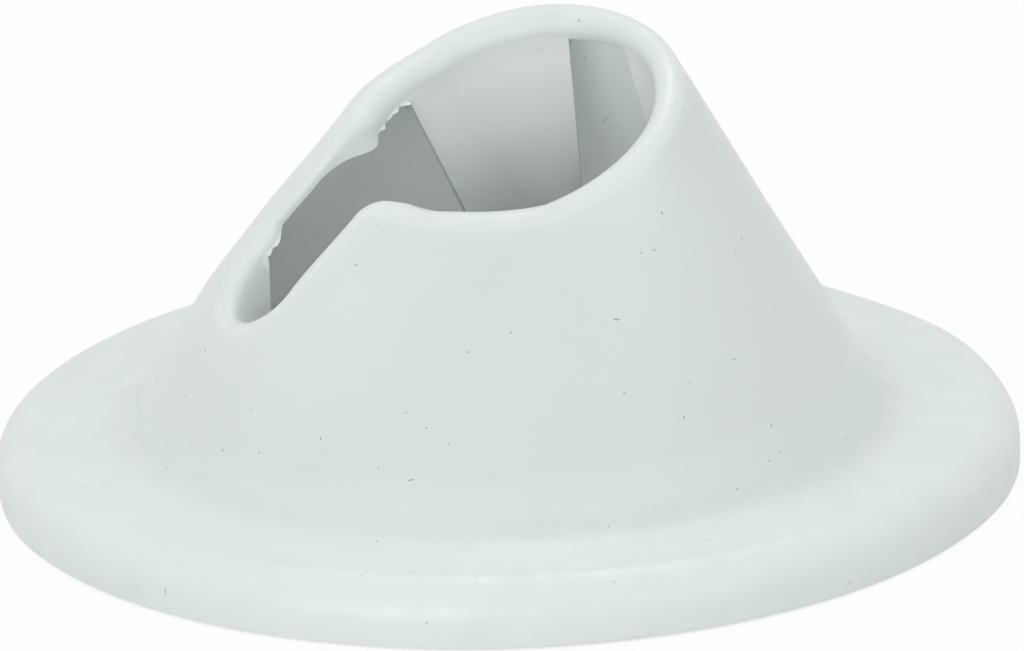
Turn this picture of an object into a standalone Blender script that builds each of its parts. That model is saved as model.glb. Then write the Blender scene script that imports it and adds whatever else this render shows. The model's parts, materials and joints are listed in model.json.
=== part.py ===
"""Cowl vent: a moulded white hood with a slotted round mouth, turning on a flat deck ring.

The hood leans towards -Y over a round flange, and its slot faces -X.  The deck lies at z = 0
and the hood turns about the Z axis.  All lengths are in metres.
"""

import math

import bmesh
import bpy
import numpy as np

# Flange: round edge of the hood, just clear of the deck
FLANGE_RADIUS = 0.100
FLANGE_CLEARANCE = 0.0005
FLANGE_EDGE_RADIUS = 0.007
WALL = 0.0024

# Crease: the circle where the sloping wall leaves the flange
BRIM_FRONT = 0.009
CREASE_FORWARD = 0.010
BRIM_RISE = 0.0018
CREASE_FILLET = 0.004

# Mouth: circle through the middle of its rounded lip
MOUTH_RADIUS = 0.0281
MOUTH_OFFSET_X = 0.0030
MOUTH_FORWARD = 0.0217
MOUTH_HEIGHT = 0.0734
MOUTH_LEAN = math.radians(23.2)
MOUTH_TIP = math.radians(13.2)
LIP_RADIUS = 0.0044

# Slot: open at the mouth, round at its lower end
SLOT_WIDTH = 0.0260
SLOT_LENGTH = 0.0350
SLOT_LIP_RADIUS = 0.003
SHOULDER_RADIUS = 0.003
SLOT_TURN = math.radians(21.2)
SLOT_SWEEP = -0.117
SLOT_RIDGE = 0.0046
SLOT_RIDGE_REACH = 0.0453
SLOT_RIDGE_AT_MOUTH = 0.0028

# Throat: two side panels and a rear leg hang from the lip, with a window between them
PANEL_START = math.radians(44.0)
PANEL_END = math.radians(117.0)
WINDOW_END = math.radians(146.0)
PANEL_EDGE = math.radians(6.0)
PANEL_DEPTH = 0.038
LIP_RETURN = 0.002
SLOT_SIDE_DEPTH = 0.001
SLOT_END_DEPTH = 0.008

# Deck ring: plate, neck and ledge of the fixed base, above its gasket
FIT_GAP = 0.0003
GASKET_THICKNESS = 0.0015
RING_PLATE_WIDTH = 0.0106
RING_PLATE_THICKNESS = 0.0018
NECK_CLEARANCE = 0.0086
NECK_WALL = 0.0054
NECK_RISE = 0.0018
LEDGE_WIDTH = 0.006
LEDGE_THICKNESS = 0.0030
DECK_HOLE_RADIUS = 0.0021
DECK_HOLE_COUNT = 6

# Turning collar: annular plate screwed under the flange, held down by a snap ring
GLIDE_THICKNESS = 0.0010
GLIDE_MARGIN = 0.0010
COLLAR_MARGIN = 0.002
COLLAR_THICKNESS = 0.0025
COLLAR_TURN_GAP = 0.0005
SNAP_RING_THICKNESS = 0.0012
SNAP_RING_WIDTH = 0.0042
SNAP_GROOVE_DEPTH = 0.0014
SNAP_RING_SPLIT = 0.006

# Collar screws, up through the collar into blind bosses under the flange
COLLAR_SCREW_COUNT = 6
COLLAR_SCREW_RADIUS = 0.0015
COLLAR_SCREW_HEAD_RADIUS = 0.0030
COLLAR_SCREW_HEAD_HEIGHT = 0.0013
BOSS_RADIUS = 0.0042
BOSS_HEIGHT = 0.0037
BOSS_SKIN = 0.0010

# Insect grille: slotted disc on the ledge, under a retaining ring
GRILLE_THICKNESS = 0.0012
GRILLE_BAR = 0.0022
GRILLE_ROWS = 11
RETAINER_THICKNESS = 0.0020
RETAINER_SCREW_COUNT = 4
RETAINER_SCREW_RADIUS = 0.0009
RETAINER_SCREW_HEAD_RADIUS = 0.0017
RETAINER_SCREW_HEAD_HEIGHT = 0.0010
RETAINER_SCREW_REACH = 0.0020

# Mesh density
TURN_STEPS = 56
SMALL_STEPS = 16
CAP_STEPS = 4
SIDE_STEPS = 4
SHOULDER_STEPS = 4
RIM_STEPS = 21
WALL_STEPS = 5
LIP_STEPS = 5
EDGE_STEPS = 4
FILLET_STEPS = 4
MERGE = 0.00001
PROBE = 0.00001

# Radii and heights that follow from the sizes above
BRIM_RADIUS = FLANGE_RADIUS - FLANGE_EDGE_RADIUS
CREASE_RADIUS = BRIM_RADIUS - BRIM_FRONT - CREASE_FORWARD
RIM_RADIUS = MOUTH_RADIUS + LIP_RADIUS
COLLAR_SCREW_CIRCLE = BRIM_RADIUS - BOSS_RADIUS
COLLAR_RADIUS = COLLAR_SCREW_CIRCLE + COLLAR_SCREW_HEAD_RADIUS + COLLAR_MARGIN
NECK_RADIUS = CREASE_RADIUS - CREASE_FORWARD - NECK_CLEARANCE
NECK_BORE = NECK_RADIUS - NECK_WALL
AIRWAY_RADIUS = NECK_BORE - LEDGE_WIDTH
RING_PLATE_RADIUS = NECK_RADIUS + RING_PLATE_WIDTH
DECK_HOLE_CIRCLE = (NECK_RADIUS + RING_PLATE_RADIUS) / 2.0
RETAINER_SCREW_CIRCLE = (AIRWAY_RADIUS + NECK_BORE) / 2.0
RING_BOTTOM = GASKET_THICKNESS + FIT_GAP
RING_TOP = RING_BOTTOM + RING_PLATE_THICKNESS
GLIDE_BOTTOM = RING_TOP + FIT_GAP
COLLAR_BOTTOM = GLIDE_BOTTOM + GLIDE_THICKNESS + FIT_GAP
COLLAR_TOP = COLLAR_BOTTOM + COLLAR_THICKNESS
SNAP_BOTTOM = COLLAR_TOP + FIT_GAP
SNAP_TOP = SNAP_BOTTOM + SNAP_RING_THICKNESS
NECK_TOP = SNAP_TOP + FIT_GAP + NECK_RISE
LEDGE_TOP = RING_BOTTOM + LEDGE_THICKNESS
GRILLE_BOTTOM = LEDGE_TOP + FIT_GAP
RETAINER_BOTTOM = GRILLE_BOTTOM + GRILLE_THICKNESS + FIT_GAP
RETAINER_TOP = RETAINER_BOTTOM + RETAINER_THICKNESS
BOSS_BOTTOM = COLLAR_TOP + FIT_GAP
FLANGE_TOP = BOSS_BOTTOM + BOSS_HEIGHT
SCREW_HOLE_TOP = FLANGE_TOP - BOSS_SKIN


def clear_scene():
    """Remove every object, so that the script always starts from nothing."""
    for old in list(bpy.data.objects):
        bpy.data.objects.remove(old, do_unlink=True)


def new_collection(name):
    """Link and return an empty collection."""
    made = bpy.data.collections.new(name)
    bpy.context.scene.collection.children.link(made)
    return made


def principled(name, colour, roughness, metallic=0.0):
    """Return a material with a Principled BSDF of one linear colour."""
    made = bpy.data.materials.new(name)
    made.use_nodes = True
    shader = made.node_tree.nodes["Principled BSDF"]
    shader.inputs["Base Color"].default_value = (*colour, 1.0)
    shader.inputs["Roughness"].default_value = roughness
    shader.inputs["Metallic"].default_value = metallic
    return made


def mesh_object(name, verts, edges, faces, group, material=None):
    """Make a mesh object from lists and link it to a collection."""
    mesh = bpy.data.meshes.new(name)
    mesh.from_pydata(verts, edges, faces)
    mesh.update()
    made = bpy.data.objects.new(name, mesh)
    group.objects.link(made)
    if material is not None:
        mesh.materials.append(material)
    return made


def turned(name, profile, closed, group, material=None, steps=TURN_STEPS):
    """Turn a profile of (radius, height) points about Z with a Screw modifier."""
    verts = [(radius, 0.0, height) for radius, height in profile]
    edges = [(i, i + 1) for i in range(len(verts) - 1)]
    if closed:
        edges.append((len(verts) - 1, 0))
    made = mesh_object(name, verts, edges, [], group, material)
    screw = made.modifiers.new("turn", "SCREW")
    screw.steps = steps
    screw.render_steps = steps
    screw.use_merge_vertices = True
    screw.merge_threshold = MERGE
    return made


def ring(name, inner, outer, bottom, top, group, material):
    """Turn a flat ring of rectangular section."""
    section = [(outer, top), (outer, bottom), (inner, bottom), (inner, top)]
    return turned(name, section, True, group, material)


def cut(target, cutter):
    """Take a cutter out of an object."""
    modifier = target.modifiers.new("cut_" + cutter.name, "BOOLEAN")
    modifier.operation = "DIFFERENCE"
    modifier.object = cutter


def pattern_angles(count):
    """Return the angles of a round pattern, starting half a step from +X."""
    return [2.0 * math.pi * (i + 0.5) / count for i in range(count)]


def peg_cutters(name, count, circle, radius, bottom, top, cutters):
    """Return one cutter object with a round pattern of upright pegs."""
    shape = bmesh.new()
    for angle in pattern_angles(count):
        peg = bmesh.ops.create_cone(
            shape, cap_ends=True, segments=SMALL_STEPS, radius1=radius, radius2=radius, depth=top - bottom
        )
        place = (circle * math.cos(angle), circle * math.sin(angle), (top + bottom) / 2.0)
        bmesh.ops.translate(shape, verts=peg["verts"], vec=place)
    made = mesh_object(name, [], [], [], cutters)
    shape.to_mesh(made.data)
    shape.free()
    hide_guide(made)
    return made


def hide_guide(guide):
    """Mark an object as a guide that is not a piece."""
    guide.hide_render = True
    guide.display_type = "WIRE"


def screws(name, count, circle, profile, group, material):
    """Place one turned screw at each point of a round pattern."""
    first = None
    for index, angle in enumerate(pattern_angles(count), start=1):
        if first is None:
            made = turned(f"{name}_{index}", profile, False, group, material, SMALL_STEPS)
            first = made
        else:
            made = first.copy()
            made.name = f"{name}_{index}"
            group.objects.link(made)
        made.location = (circle * math.cos(angle), circle * math.sin(angle), 0.0)


def smooth_step(value):
    """Rise from 0 to 1 with level ends as value goes from 0 to 1."""
    level = np.clip(value, 0.0, 1.0)
    return level * level * (3.0 - 2.0 * level)


def unit(vectors):
    """Scale vectors to length one along their last axis."""
    return vectors / np.linalg.norm(vectors, axis=-1, keepdims=True)


def mouth_frame():
    """Return the mouth's centre and its in-plane axes, back along +X and left along +Y."""
    centre = np.array([MOUTH_OFFSET_X, -MOUTH_FORWARD, MOUTH_HEIGHT])
    lean_cos, lean_sin = math.cos(MOUTH_LEAN), math.sin(MOUTH_LEAN)
    tip_cos, tip_sin = math.cos(MOUTH_TIP), math.sin(MOUTH_TIP)
    back = np.array([tip_cos, -tip_sin * lean_sin, tip_sin * lean_cos])
    left = np.array([0.0, lean_cos, lean_sin])
    return centre, back, left


def crease_point(turn):
    """Return points of the crease circle at angles counted from the slot."""
    angle = turn + SLOT_TURN
    along = np.stack([-np.cos(angle), -np.sin(angle), np.zeros_like(angle)], axis=-1)
    return np.array([0.0, -CREASE_FORWARD, FLANGE_TOP + BRIM_RISE]) + CREASE_RADIUS * along


def mouth_spoke(turn):
    """Return unit spokes of the mouth at angles counted from the slot."""
    _, back, left = mouth_frame()
    angle = turn + SLOT_TURN
    return -np.cos(angle)[..., None] * back - np.sin(angle)[..., None] * left


def ridge_direction():
    """Return the direction in which the ridge around the slot stands off the wall."""
    slot = np.array(0.0)
    rim = mouth_frame()[0] + RIM_RADIUS * mouth_spoke(slot)
    slope = unit(crease_point(slot) - rim)
    spoke = mouth_spoke(slot)
    return unit(spoke - np.dot(spoke, slope) * slope)


def wall_point(turn, rise):
    """Return points of the sloping wall, ruled from the crease (rise 0) to the mouth (rise 1)."""
    rim = mouth_frame()[0] + RIM_RADIUS * mouth_spoke(turn)
    share = rise[..., None]
    plain = crease_point(turn) * (1.0 - share) + rim * share
    reach = np.abs(turn) * (CREASE_RADIUS + (RIM_RADIUS - CREASE_RADIUS) * rise)
    height = SLOT_RIDGE * smooth_step(2.0 * rise)
    height = height + (SLOT_RIDGE_AT_MOUTH - SLOT_RIDGE) * smooth_step(3.0 * rise - 2.0)
    swell = height * smooth_step(2.0 - 2.0 * reach / SLOT_RIDGE_REACH)
    return plain + swell[..., None] * ridge_direction()


def wall_axes(turn, rise):
    """Return unit directions of the wall: around, down the slope, and outward."""
    around = unit(wall_point(turn + PROBE, rise) - wall_point(turn - PROBE, rise))
    down = unit(wall_point(turn, rise - PROBE) - wall_point(turn, rise + PROBE))
    outward = unit(np.cross(down, around))
    down = np.cross(around, outward)
    return around, down, outward


def keyhole():
    """Return the opening's edge as columns of angle, rise, opening direction and lip share.

    The edge is drawn flat on the unrolled wall, across and down from the mouth: a round slot end,
    a straight side, a round shoulder and then the mouth.  One half is drawn and mirrored, and the
    slot is then swept sideways towards the mouth.
    """
    half = SLOT_WIDTH / 2.0
    slope = np.linalg.norm(wall_point(np.array(0.0), np.array(1.0)) - crease_point(np.array(0.0)))
    end_centre = SLOT_LENGTH - half

    cap = np.linspace(0.0, math.pi / 2.0, CAP_STEPS, endpoint=False)
    side = np.linspace(end_centre, SHOULDER_RADIUS, SIDE_STEPS, endpoint=False)
    bend = np.linspace(0.0, math.pi / 2.0, SHOULDER_STEPS, endpoint=False)
    rim = np.linspace(half + SHOULDER_RADIUS, math.pi * RIM_RADIUS, RIM_STEPS)

    across = np.concatenate([
        half * np.sin(cap),
        np.full_like(side, half),
        half + SHOULDER_RADIUS * (1.0 - np.cos(bend)),
        rim,
    ])
    below = np.concatenate([
        end_centre + half * np.cos(cap),
        side,
        SHOULDER_RADIUS * (1.0 - np.sin(bend)),
        np.zeros_like(rim),
    ])
    to_opening_across = np.concatenate([
        -np.sin(cap), np.full_like(side, -1.0), -np.cos(bend), np.zeros_like(rim)
    ])
    to_opening_down = np.concatenate([
        -np.cos(cap), np.zeros_like(side), -np.sin(bend), np.full_like(rim, -1.0)
    ])

    travel = np.concatenate([[0.0], np.cumsum(np.hypot(np.diff(across), np.diff(below)))])
    foot_turn = math.pi * travel / travel[-1]
    rise = 1.0 - below / slope
    local_radius = RIM_RADIUS + (CREASE_RADIUS - RIM_RADIUS) * below / slope
    turn = across / local_radius
    turn[-1] = math.pi
    fade = smooth_step((math.pi * RIM_RADIUS - across) / (math.pi * RIM_RADIUS - half - SHOULDER_RADIUS))
    sweep = fade * SLOT_SWEEP * (end_centre - below) / local_radius
    mouth_share = smooth_step((across - half) / (2.0 * SHOULDER_RADIUS))

    def both(values, sign):
        return np.concatenate([values, sign * values[-2:0:-1]])

    return (
        both(turn, -1.0) + both(sweep, 1.0),
        both(rise, 1.0),
        both(foot_turn, -1.0),
        both(to_opening_across, -1.0),
        both(to_opening_down, 1.0),
        both(mouth_share, 1.0),
    )


def skirt_depth(turn, rise, mouth_share):
    """Return how far the moulding runs inward past the lip: panels, windows and slot walls."""
    angle = np.abs((turn + SLOT_TURN + math.pi) % (2.0 * math.pi) - math.pi)
    panel = smooth_step((angle - PANEL_START) / PANEL_EDGE) * smooth_step((PANEL_END - angle) / PANEL_EDGE)
    leg = smooth_step((angle - WINDOW_END) / PANEL_EDGE)
    mouth_depth = LIP_RETURN + (PANEL_DEPTH - LIP_RETURN) * np.maximum(panel, leg)
    slot_depth = SLOT_END_DEPTH + (SLOT_SIDE_DEPTH - SLOT_END_DEPTH) * smooth_step(
        (rise - rise.min()) / (1.0 - rise.min()) * 2.0
    )
    return slot_depth + (mouth_depth - slot_depth) * mouth_share


def flange_rows(foot_turn):
    """Return the rows of the flange from its lower edge, over its round edge, to the crease fillet."""
    foot = crease_point(foot_turn)
    centred = unit(foot * np.array([1.0, 1.0, 0.0]))
    arc = np.linspace(0.0, math.pi / 2.0, EDGE_STEPS)
    radii = [FLANGE_RADIUS] + list(FLANGE_RADIUS - FLANGE_EDGE_RADIUS * (1.0 - np.cos(arc)))
    heights = [FLANGE_CLEARANCE] + list(FLANGE_TOP - FLANGE_EDGE_RADIUS * (1.0 - np.sin(arc)))
    upright = np.array([0.0, 0.0, 1.0])
    return [radius * centred + height * upright for radius, height in zip(radii, heights)]


def hood_sheet():
    """Return the hood's outer sheet as rows of points, from the flange's edge to inside the throat."""
    turn, rise, foot_turn, across, down_share, mouth_share = keyhole()
    rows = flange_rows(foot_turn)

    foot = crease_point(foot_turn)
    edge = rows[-1]
    brim_end = foot + CREASE_FILLET * unit(edge - foot)
    wall_start_share = CREASE_FILLET / np.linalg.norm(wall_point(turn, rise) - foot, axis=-1)
    wall_start = wall_point(
        foot_turn + (turn - foot_turn) * wall_start_share, rise * wall_start_share
    )
    for share in np.linspace(0.0, 1.0, FILLET_STEPS):
        rows.append(
            (1.0 - share) ** 2 * brim_end + 2.0 * share * (1.0 - share) * foot + share**2 * wall_start
        )
    for step in range(1, WALL_STEPS + 1):
        share = wall_start_share + (1.0 - wall_start_share) * step / WALL_STEPS
        rows.append(wall_point(foot_turn + (turn - foot_turn) * share, rise * share))

    axis_around, axis_down, outward = wall_axes(turn, rise)
    into_slot = across[:, None] * axis_around + down_share[:, None] * axis_down
    inward = unit(into_slot - (mouth_spoke(turn) + into_slot) * mouth_share[:, None])
    lip_radius = (SLOT_LIP_RADIUS + (LIP_RADIUS - SLOT_LIP_RADIUS) * mouth_share)[:, None]
    lip_centre = rows[-1] - lip_radius * outward
    swing = np.arccos(np.clip(np.sum(outward * inward, axis=-1), -1.0, 1.0))[:, None]
    for step in range(1, LIP_STEPS + 1):
        part = swing * step / LIP_STEPS
        arm = (np.sin(swing - part) * outward + np.sin(part) * inward) / np.sin(swing)
        rows.append(lip_centre + lip_radius * arm)

    hang = -unit(outward - np.sum(outward * inward, axis=-1, keepdims=True) * inward)
    depth = skirt_depth(turn, rise, mouth_share)[:, None]
    rows.append(rows[-1] + depth * hang)
    return np.stack(rows)


def grid_faces(row_count, column_count):
    """Return the quads of a grid that closes on itself across its columns."""
    row, column = np.meshgrid(np.arange(row_count - 1), np.arange(column_count), indexing="ij")
    after = (column + 1) % column_count
    corners = [
        row * column_count + column,
        row * column_count + after,
        (row + 1) * column_count + after,
        (row + 1) * column_count + column,
    ]
    return np.stack(corners, axis=-1).reshape(-1, 4).tolist()


def make_hood(group, cutters, material):
    """Make the moulded hood: a thickened sheet with screw bosses under its flange."""
    sheet = hood_sheet()
    points = sheet.reshape(-1, 3).tolist()
    faces = grid_faces(sheet.shape[0], sheet.shape[1])
    hood = mesh_object("cowl_shell", points, [], faces, group, material)
    hood.data.shade_smooth()
    thicken = hood.modifiers.new("wall", "SOLIDIFY")
    thicken.thickness = WALL
    thicken.offset = -1.0

    boss_top = FLANGE_TOP - WALL / 2.0
    bosses = peg_cutters(
        "boss_guide", COLLAR_SCREW_COUNT, COLLAR_SCREW_CIRCLE, BOSS_RADIUS, BOSS_BOTTOM, boss_top, cutters
    )
    join = hood.modifiers.new("bosses", "BOOLEAN")
    join.operation = "UNION"
    join.object = bosses
    holes = peg_cutters(
        "boss_hole_guide",
        COLLAR_SCREW_COUNT,
        COLLAR_SCREW_CIRCLE,
        COLLAR_SCREW_RADIUS + FIT_GAP,
        BOSS_BOTTOM - FIT_GAP,
        SCREW_HOLE_TOP,
        cutters,
    )
    cut(hood, holes)


def make_collar(group, cutters, material, screw_material):
    """Make the turning collar and the screws that hold it under the flange."""
    inner = NECK_RADIUS + COLLAR_TURN_GAP
    collar = ring("turning_collar", inner, COLLAR_RADIUS, COLLAR_BOTTOM, COLLAR_TOP, group, material)
    holes = peg_cutters(
        "collar_hole_guide",
        COLLAR_SCREW_COUNT,
        COLLAR_SCREW_CIRCLE,
        COLLAR_SCREW_RADIUS + FIT_GAP,
        COLLAR_BOTTOM - FIT_GAP,
        COLLAR_TOP + FIT_GAP,
        cutters,
    )
    cut(collar, holes)
    head_top = COLLAR_BOTTOM - FIT_GAP
    head_bottom = head_top - COLLAR_SCREW_HEAD_HEIGHT
    tip = SCREW_HOLE_TOP - FIT_GAP
    profile = [
        (0.0, tip),
        (COLLAR_SCREW_RADIUS, tip),
        (COLLAR_SCREW_RADIUS, head_top),
        (COLLAR_SCREW_HEAD_RADIUS, head_top),
        (COLLAR_SCREW_HEAD_RADIUS, head_bottom),
        (0.0, head_bottom),
    ]
    screws("collar_screw", COLLAR_SCREW_COUNT, COLLAR_SCREW_CIRCLE, profile, group, screw_material)


def make_deck_ring(group, cutters, material, gasket_material):
    """Make the fixed ring and its gasket, and return the guide of the retaining screws' holes."""
    groove = NECK_RADIUS - SNAP_GROOVE_DEPTH
    section = [
        (NECK_RADIUS, NECK_TOP),
        (NECK_RADIUS, SNAP_TOP + FIT_GAP),
        (groove, SNAP_TOP + FIT_GAP),
        (groove, SNAP_BOTTOM - FIT_GAP),
        (NECK_RADIUS, SNAP_BOTTOM - FIT_GAP),
        (NECK_RADIUS, RING_TOP),
        (RING_PLATE_RADIUS, RING_TOP),
        (RING_PLATE_RADIUS, RING_BOTTOM),
        (AIRWAY_RADIUS, RING_BOTTOM),
        (AIRWAY_RADIUS, LEDGE_TOP),
        (NECK_BORE, LEDGE_TOP),
        (NECK_BORE, NECK_TOP),
    ]
    deck_ring = turned("deck_ring", section, True, group, material)
    gasket = ring(
        "deck_gasket", AIRWAY_RADIUS, RING_PLATE_RADIUS, 0.0, GASKET_THICKNESS, group, gasket_material
    )
    holes = peg_cutters(
        "deck_hole_guide",
        DECK_HOLE_COUNT,
        DECK_HOLE_CIRCLE,
        DECK_HOLE_RADIUS,
        -FIT_GAP,
        RING_TOP + FIT_GAP,
        cutters,
    )
    cut(deck_ring, holes)
    cut(gasket, holes)
    screw_holes = peg_cutters(
        "ledge_hole_guide",
        RETAINER_SCREW_COUNT,
        RETAINER_SCREW_CIRCLE,
        RETAINER_SCREW_RADIUS + FIT_GAP,
        LEDGE_TOP - RETAINER_SCREW_REACH - FIT_GAP,
        RETAINER_TOP + FIT_GAP,
        cutters,
    )
    cut(deck_ring, screw_holes)
    return screw_holes


def make_bearing(group, cutters, glide_material, spring_material):
    """Make the glide ring under the collar and the split snap ring above it."""
    ring(
        "glide_ring",
        NECK_RADIUS + COLLAR_TURN_GAP,
        RING_PLATE_RADIUS - GLIDE_MARGIN,
        GLIDE_BOTTOM,
        GLIDE_BOTTOM + GLIDE_THICKNESS,
        group,
        glide_material,
    )
    inner = NECK_RADIUS - SNAP_GROOVE_DEPTH + FIT_GAP
    snap = ring("snap_ring", inner, inner + SNAP_RING_WIDTH, SNAP_BOTTOM, SNAP_TOP, group, spring_material)
    shape = bmesh.new()
    block = bmesh.ops.create_cube(shape, size=1.0)
    length = SNAP_RING_WIDTH + 2.0 * FIT_GAP
    height = SNAP_RING_THICKNESS + 2.0 * FIT_GAP
    bmesh.ops.scale(shape, verts=block["verts"], vec=(length, SNAP_RING_SPLIT, height))
    place = (inner + SNAP_RING_WIDTH / 2.0, 0.0, (SNAP_BOTTOM + SNAP_TOP) / 2.0)
    bmesh.ops.translate(shape, verts=block["verts"], vec=place)
    split = mesh_object("split_guide", [], [], [], cutters)
    shape.to_mesh(split.data)
    shape.free()
    hide_guide(split)
    cut(snap, split)


def make_grille(group, cutters, screw_holes, material, retainer_material, screw_material):
    """Make the slotted insect grille, its retaining ring and the retaining screws."""
    outer = NECK_BORE - FIT_GAP
    top = GRILLE_BOTTOM + GRILLE_THICKNESS
    disc = [(0.0, top), (outer, top), (outer, GRILLE_BOTTOM), (0.0, GRILLE_BOTTOM)]
    grille = turned("insect_grille", disc, False, group, material)
    pitch = 2.0 * AIRWAY_RADIUS / (GRILLE_ROWS + 1)
    gap = pitch - GRILLE_BAR
    shape = bmesh.new()
    for index in range(GRILLE_ROWS):
        middle = (index + 1) * pitch - AIRWAY_RADIUS
        reach = abs(middle) + gap / 2.0
        run = math.sqrt(AIRWAY_RADIUS**2 - reach**2) - GRILLE_BAR / 2.0
        for side in (-1.0, 1.0):
            block = bmesh.ops.create_cube(shape, size=1.0)
            size = (run, gap, GRILLE_THICKNESS + 2.0 * FIT_GAP)
            bmesh.ops.scale(shape, verts=block["verts"], vec=size)
            place = (side * (GRILLE_BAR + run) / 2.0, middle, (top + GRILLE_BOTTOM) / 2.0)
            bmesh.ops.translate(shape, verts=block["verts"], vec=place)
    slots = mesh_object("grille_slot_guide", [], [], [], cutters)
    shape.to_mesh(slots.data)
    shape.free()
    hide_guide(slots)
    cut(grille, slots)
    cut(grille, screw_holes)

    retainer = ring(
        "screen_retainer", AIRWAY_RADIUS, outer, RETAINER_BOTTOM, RETAINER_TOP, group, retainer_material
    )
    cut(retainer, screw_holes)
    head_bottom = RETAINER_TOP + FIT_GAP
    head_top = head_bottom + RETAINER_SCREW_HEAD_HEIGHT
    tip = LEDGE_TOP - RETAINER_SCREW_REACH
    profile = [
        (0.0, head_top),
        (RETAINER_SCREW_HEAD_RADIUS, head_top),
        (RETAINER_SCREW_HEAD_RADIUS, head_bottom),
        (RETAINER_SCREW_RADIUS, head_bottom),
        (RETAINER_SCREW_RADIUS, tip),
        (0.0, tip),
    ]
    screws("retainer_screw", RETAINER_SCREW_COUNT, RETAINER_SCREW_CIRCLE, profile, group, screw_material)


def main():
    """Build every piece of the vent."""
    clear_scene()
    pieces = new_collection("cowl_vent")
    cutters = new_collection("guides")

    white = principled("moulded_white_plastic", (0.76, 0.79, 0.77), 0.45)
    grey = principled("grey_nylon", (0.16, 0.17, 0.18), 0.5)
    black = principled("black_rubber", (0.02, 0.02, 0.02), 0.8)
    natural = principled("natural_acetal", (0.80, 0.78, 0.72), 0.35)
    steel = principled("stainless_steel", (0.62, 0.62, 0.60), 0.3, 1.0)

    make_hood(pieces, cutters, white)
    make_collar(pieces, cutters, grey, steel)
    screw_holes = make_deck_ring(pieces, cutters, grey, black)
    make_bearing(pieces, cutters, natural, steel)
    make_grille(pieces, cutters, screw_holes, white, grey, steel)


main()
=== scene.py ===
"""Looks of a cowl vent: a moulded white hood that turns on a ring screwed to the deck.

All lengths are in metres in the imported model's frame.  The deck is z = 0, the hood turns about Z,
its mouth leans towards -Y and its slot lies on the -X side.
"""

import json
import logging
import math
from dataclasses import dataclass, field
from enum import Enum
from typing import Any

import bmesh
import bpy
import numpy as np
from mathutils import Matrix

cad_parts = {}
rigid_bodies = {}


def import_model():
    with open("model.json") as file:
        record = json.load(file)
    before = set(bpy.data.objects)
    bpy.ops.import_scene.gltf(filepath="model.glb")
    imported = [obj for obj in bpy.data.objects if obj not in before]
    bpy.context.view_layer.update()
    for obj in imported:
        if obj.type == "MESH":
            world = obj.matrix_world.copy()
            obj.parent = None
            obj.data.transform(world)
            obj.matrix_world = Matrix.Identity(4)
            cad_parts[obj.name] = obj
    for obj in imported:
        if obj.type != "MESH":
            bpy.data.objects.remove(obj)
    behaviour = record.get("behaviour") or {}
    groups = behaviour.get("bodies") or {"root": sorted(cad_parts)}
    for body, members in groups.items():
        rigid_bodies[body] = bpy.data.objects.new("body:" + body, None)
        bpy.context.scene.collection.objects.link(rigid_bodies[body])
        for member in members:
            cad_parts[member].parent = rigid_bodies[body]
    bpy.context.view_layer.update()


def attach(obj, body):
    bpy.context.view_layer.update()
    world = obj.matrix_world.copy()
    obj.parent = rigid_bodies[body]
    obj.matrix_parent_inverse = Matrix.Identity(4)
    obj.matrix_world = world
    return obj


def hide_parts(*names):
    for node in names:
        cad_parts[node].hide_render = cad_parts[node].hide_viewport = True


LOG = logging.getLogger("cowl_vent")
Array = np.ndarray
Spot = tuple[float, float]
Place = tuple[float, float, float]
Bumps = tuple[tuple[float, float, float], ...]

PHOTO_WIDTH = 1024.0
MILLIMETRE = 0.001
WELD = 1e-7
SHARP_ANGLE = math.radians(32.0)
QUARTER_TURN = 0.5 * math.pi
FULL_TURN = 2.0 * math.pi
UPRIGHT = np.array([0.0, 0.0, 1.0])
WHITE = (1.0, 1.0, 1.0, 1.0)
HOLE_STEPS = 40

# Largest share of a short side that the rounding of a corner takes up
ROUND_LIMIT = 0.45

# Sockets of the Mix node when it mixes colours
MIX_A, MIX_B, MIX_RESULT = 6, 7, 2

# Mesh attribute whose X is 1 where light soaks through the plastic and whose Y is 1 on the panels, which
# are painted whiter as painted light
ZONE = "zone"


class Body(Enum):
    """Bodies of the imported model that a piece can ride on."""

    BASE = "base"
    COWL = "cowl"


def linear(code: str) -> tuple[float, float, float, float]:
    """Turn an sRGB hex colour into linear RGBA.

    Args:
        code: Colour written as #rrggbb.

    Returns:
        Red, green, blue and full alpha.
    """
    srgb = np.array([int(code[start:start + 2], 16) for start in (1, 3, 5)]) / 255.0
    red, green, blue = np.where(srgb <= 0.04045, srgb / 12.92, ((srgb + 0.055) / 1.055) ** 2.4)
    return float(red), float(green), float(blue), 1.0


def add(
    tree: bpy.types.NodeTree, kind: str, inputs: dict | None = None, **settings: Any
) -> bpy.types.Node:
    """Add one node, set its properties and fill its inputs.

    Args:
        tree: Node tree that takes the node.
        kind: Blender's name for the type of node.
        inputs: Values or output sockets, keyed by the input's name or number.
        settings: Properties of the node itself.

    Returns:
        The new node.
    """
    node = tree.nodes.new(kind)
    for name, value in settings.items():
        setattr(node, name, value)
    for key, value in (inputs or {}).items():
        if isinstance(value, bpy.types.NodeSocket):
            tree.links.new(value, node.inputs[key])
        else:
            node.inputs[key].default_value = value
    return node


def per_metre(size_mm: float) -> float:
    """Return the texture scale whose features are about size_mm millimetres wide."""
    return 1.0 / (size_mm * MILLIMETRE)


def unit(vectors: Array) -> Array:
    """Scale vectors to length one along their last axis."""
    return vectors / np.linalg.norm(vectors, axis=-1, keepdims=True)


def smooth_step(value: Array) -> Array:
    """Rise from 0 to 1 with level ends as value goes from 0 to 1."""
    level = np.clip(value, 0.0, 1.0)
    return level * level * (3.0 - 2.0 * level)


def bumps(where: Array, table: Bumps) -> Array:
    """Add up smooth bumps, each falling from its height at its place to nothing at its reach.

    Args:
        where: Positions along a line.
        table: Place, height and reach of each bump.

    Returns:
        The height at each position.
    """
    place, height, reach = np.array(table).T[:, :, None]
    return (height * smooth_step(1.0 - np.abs(where - place) / reach)).sum(axis=0)


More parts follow.
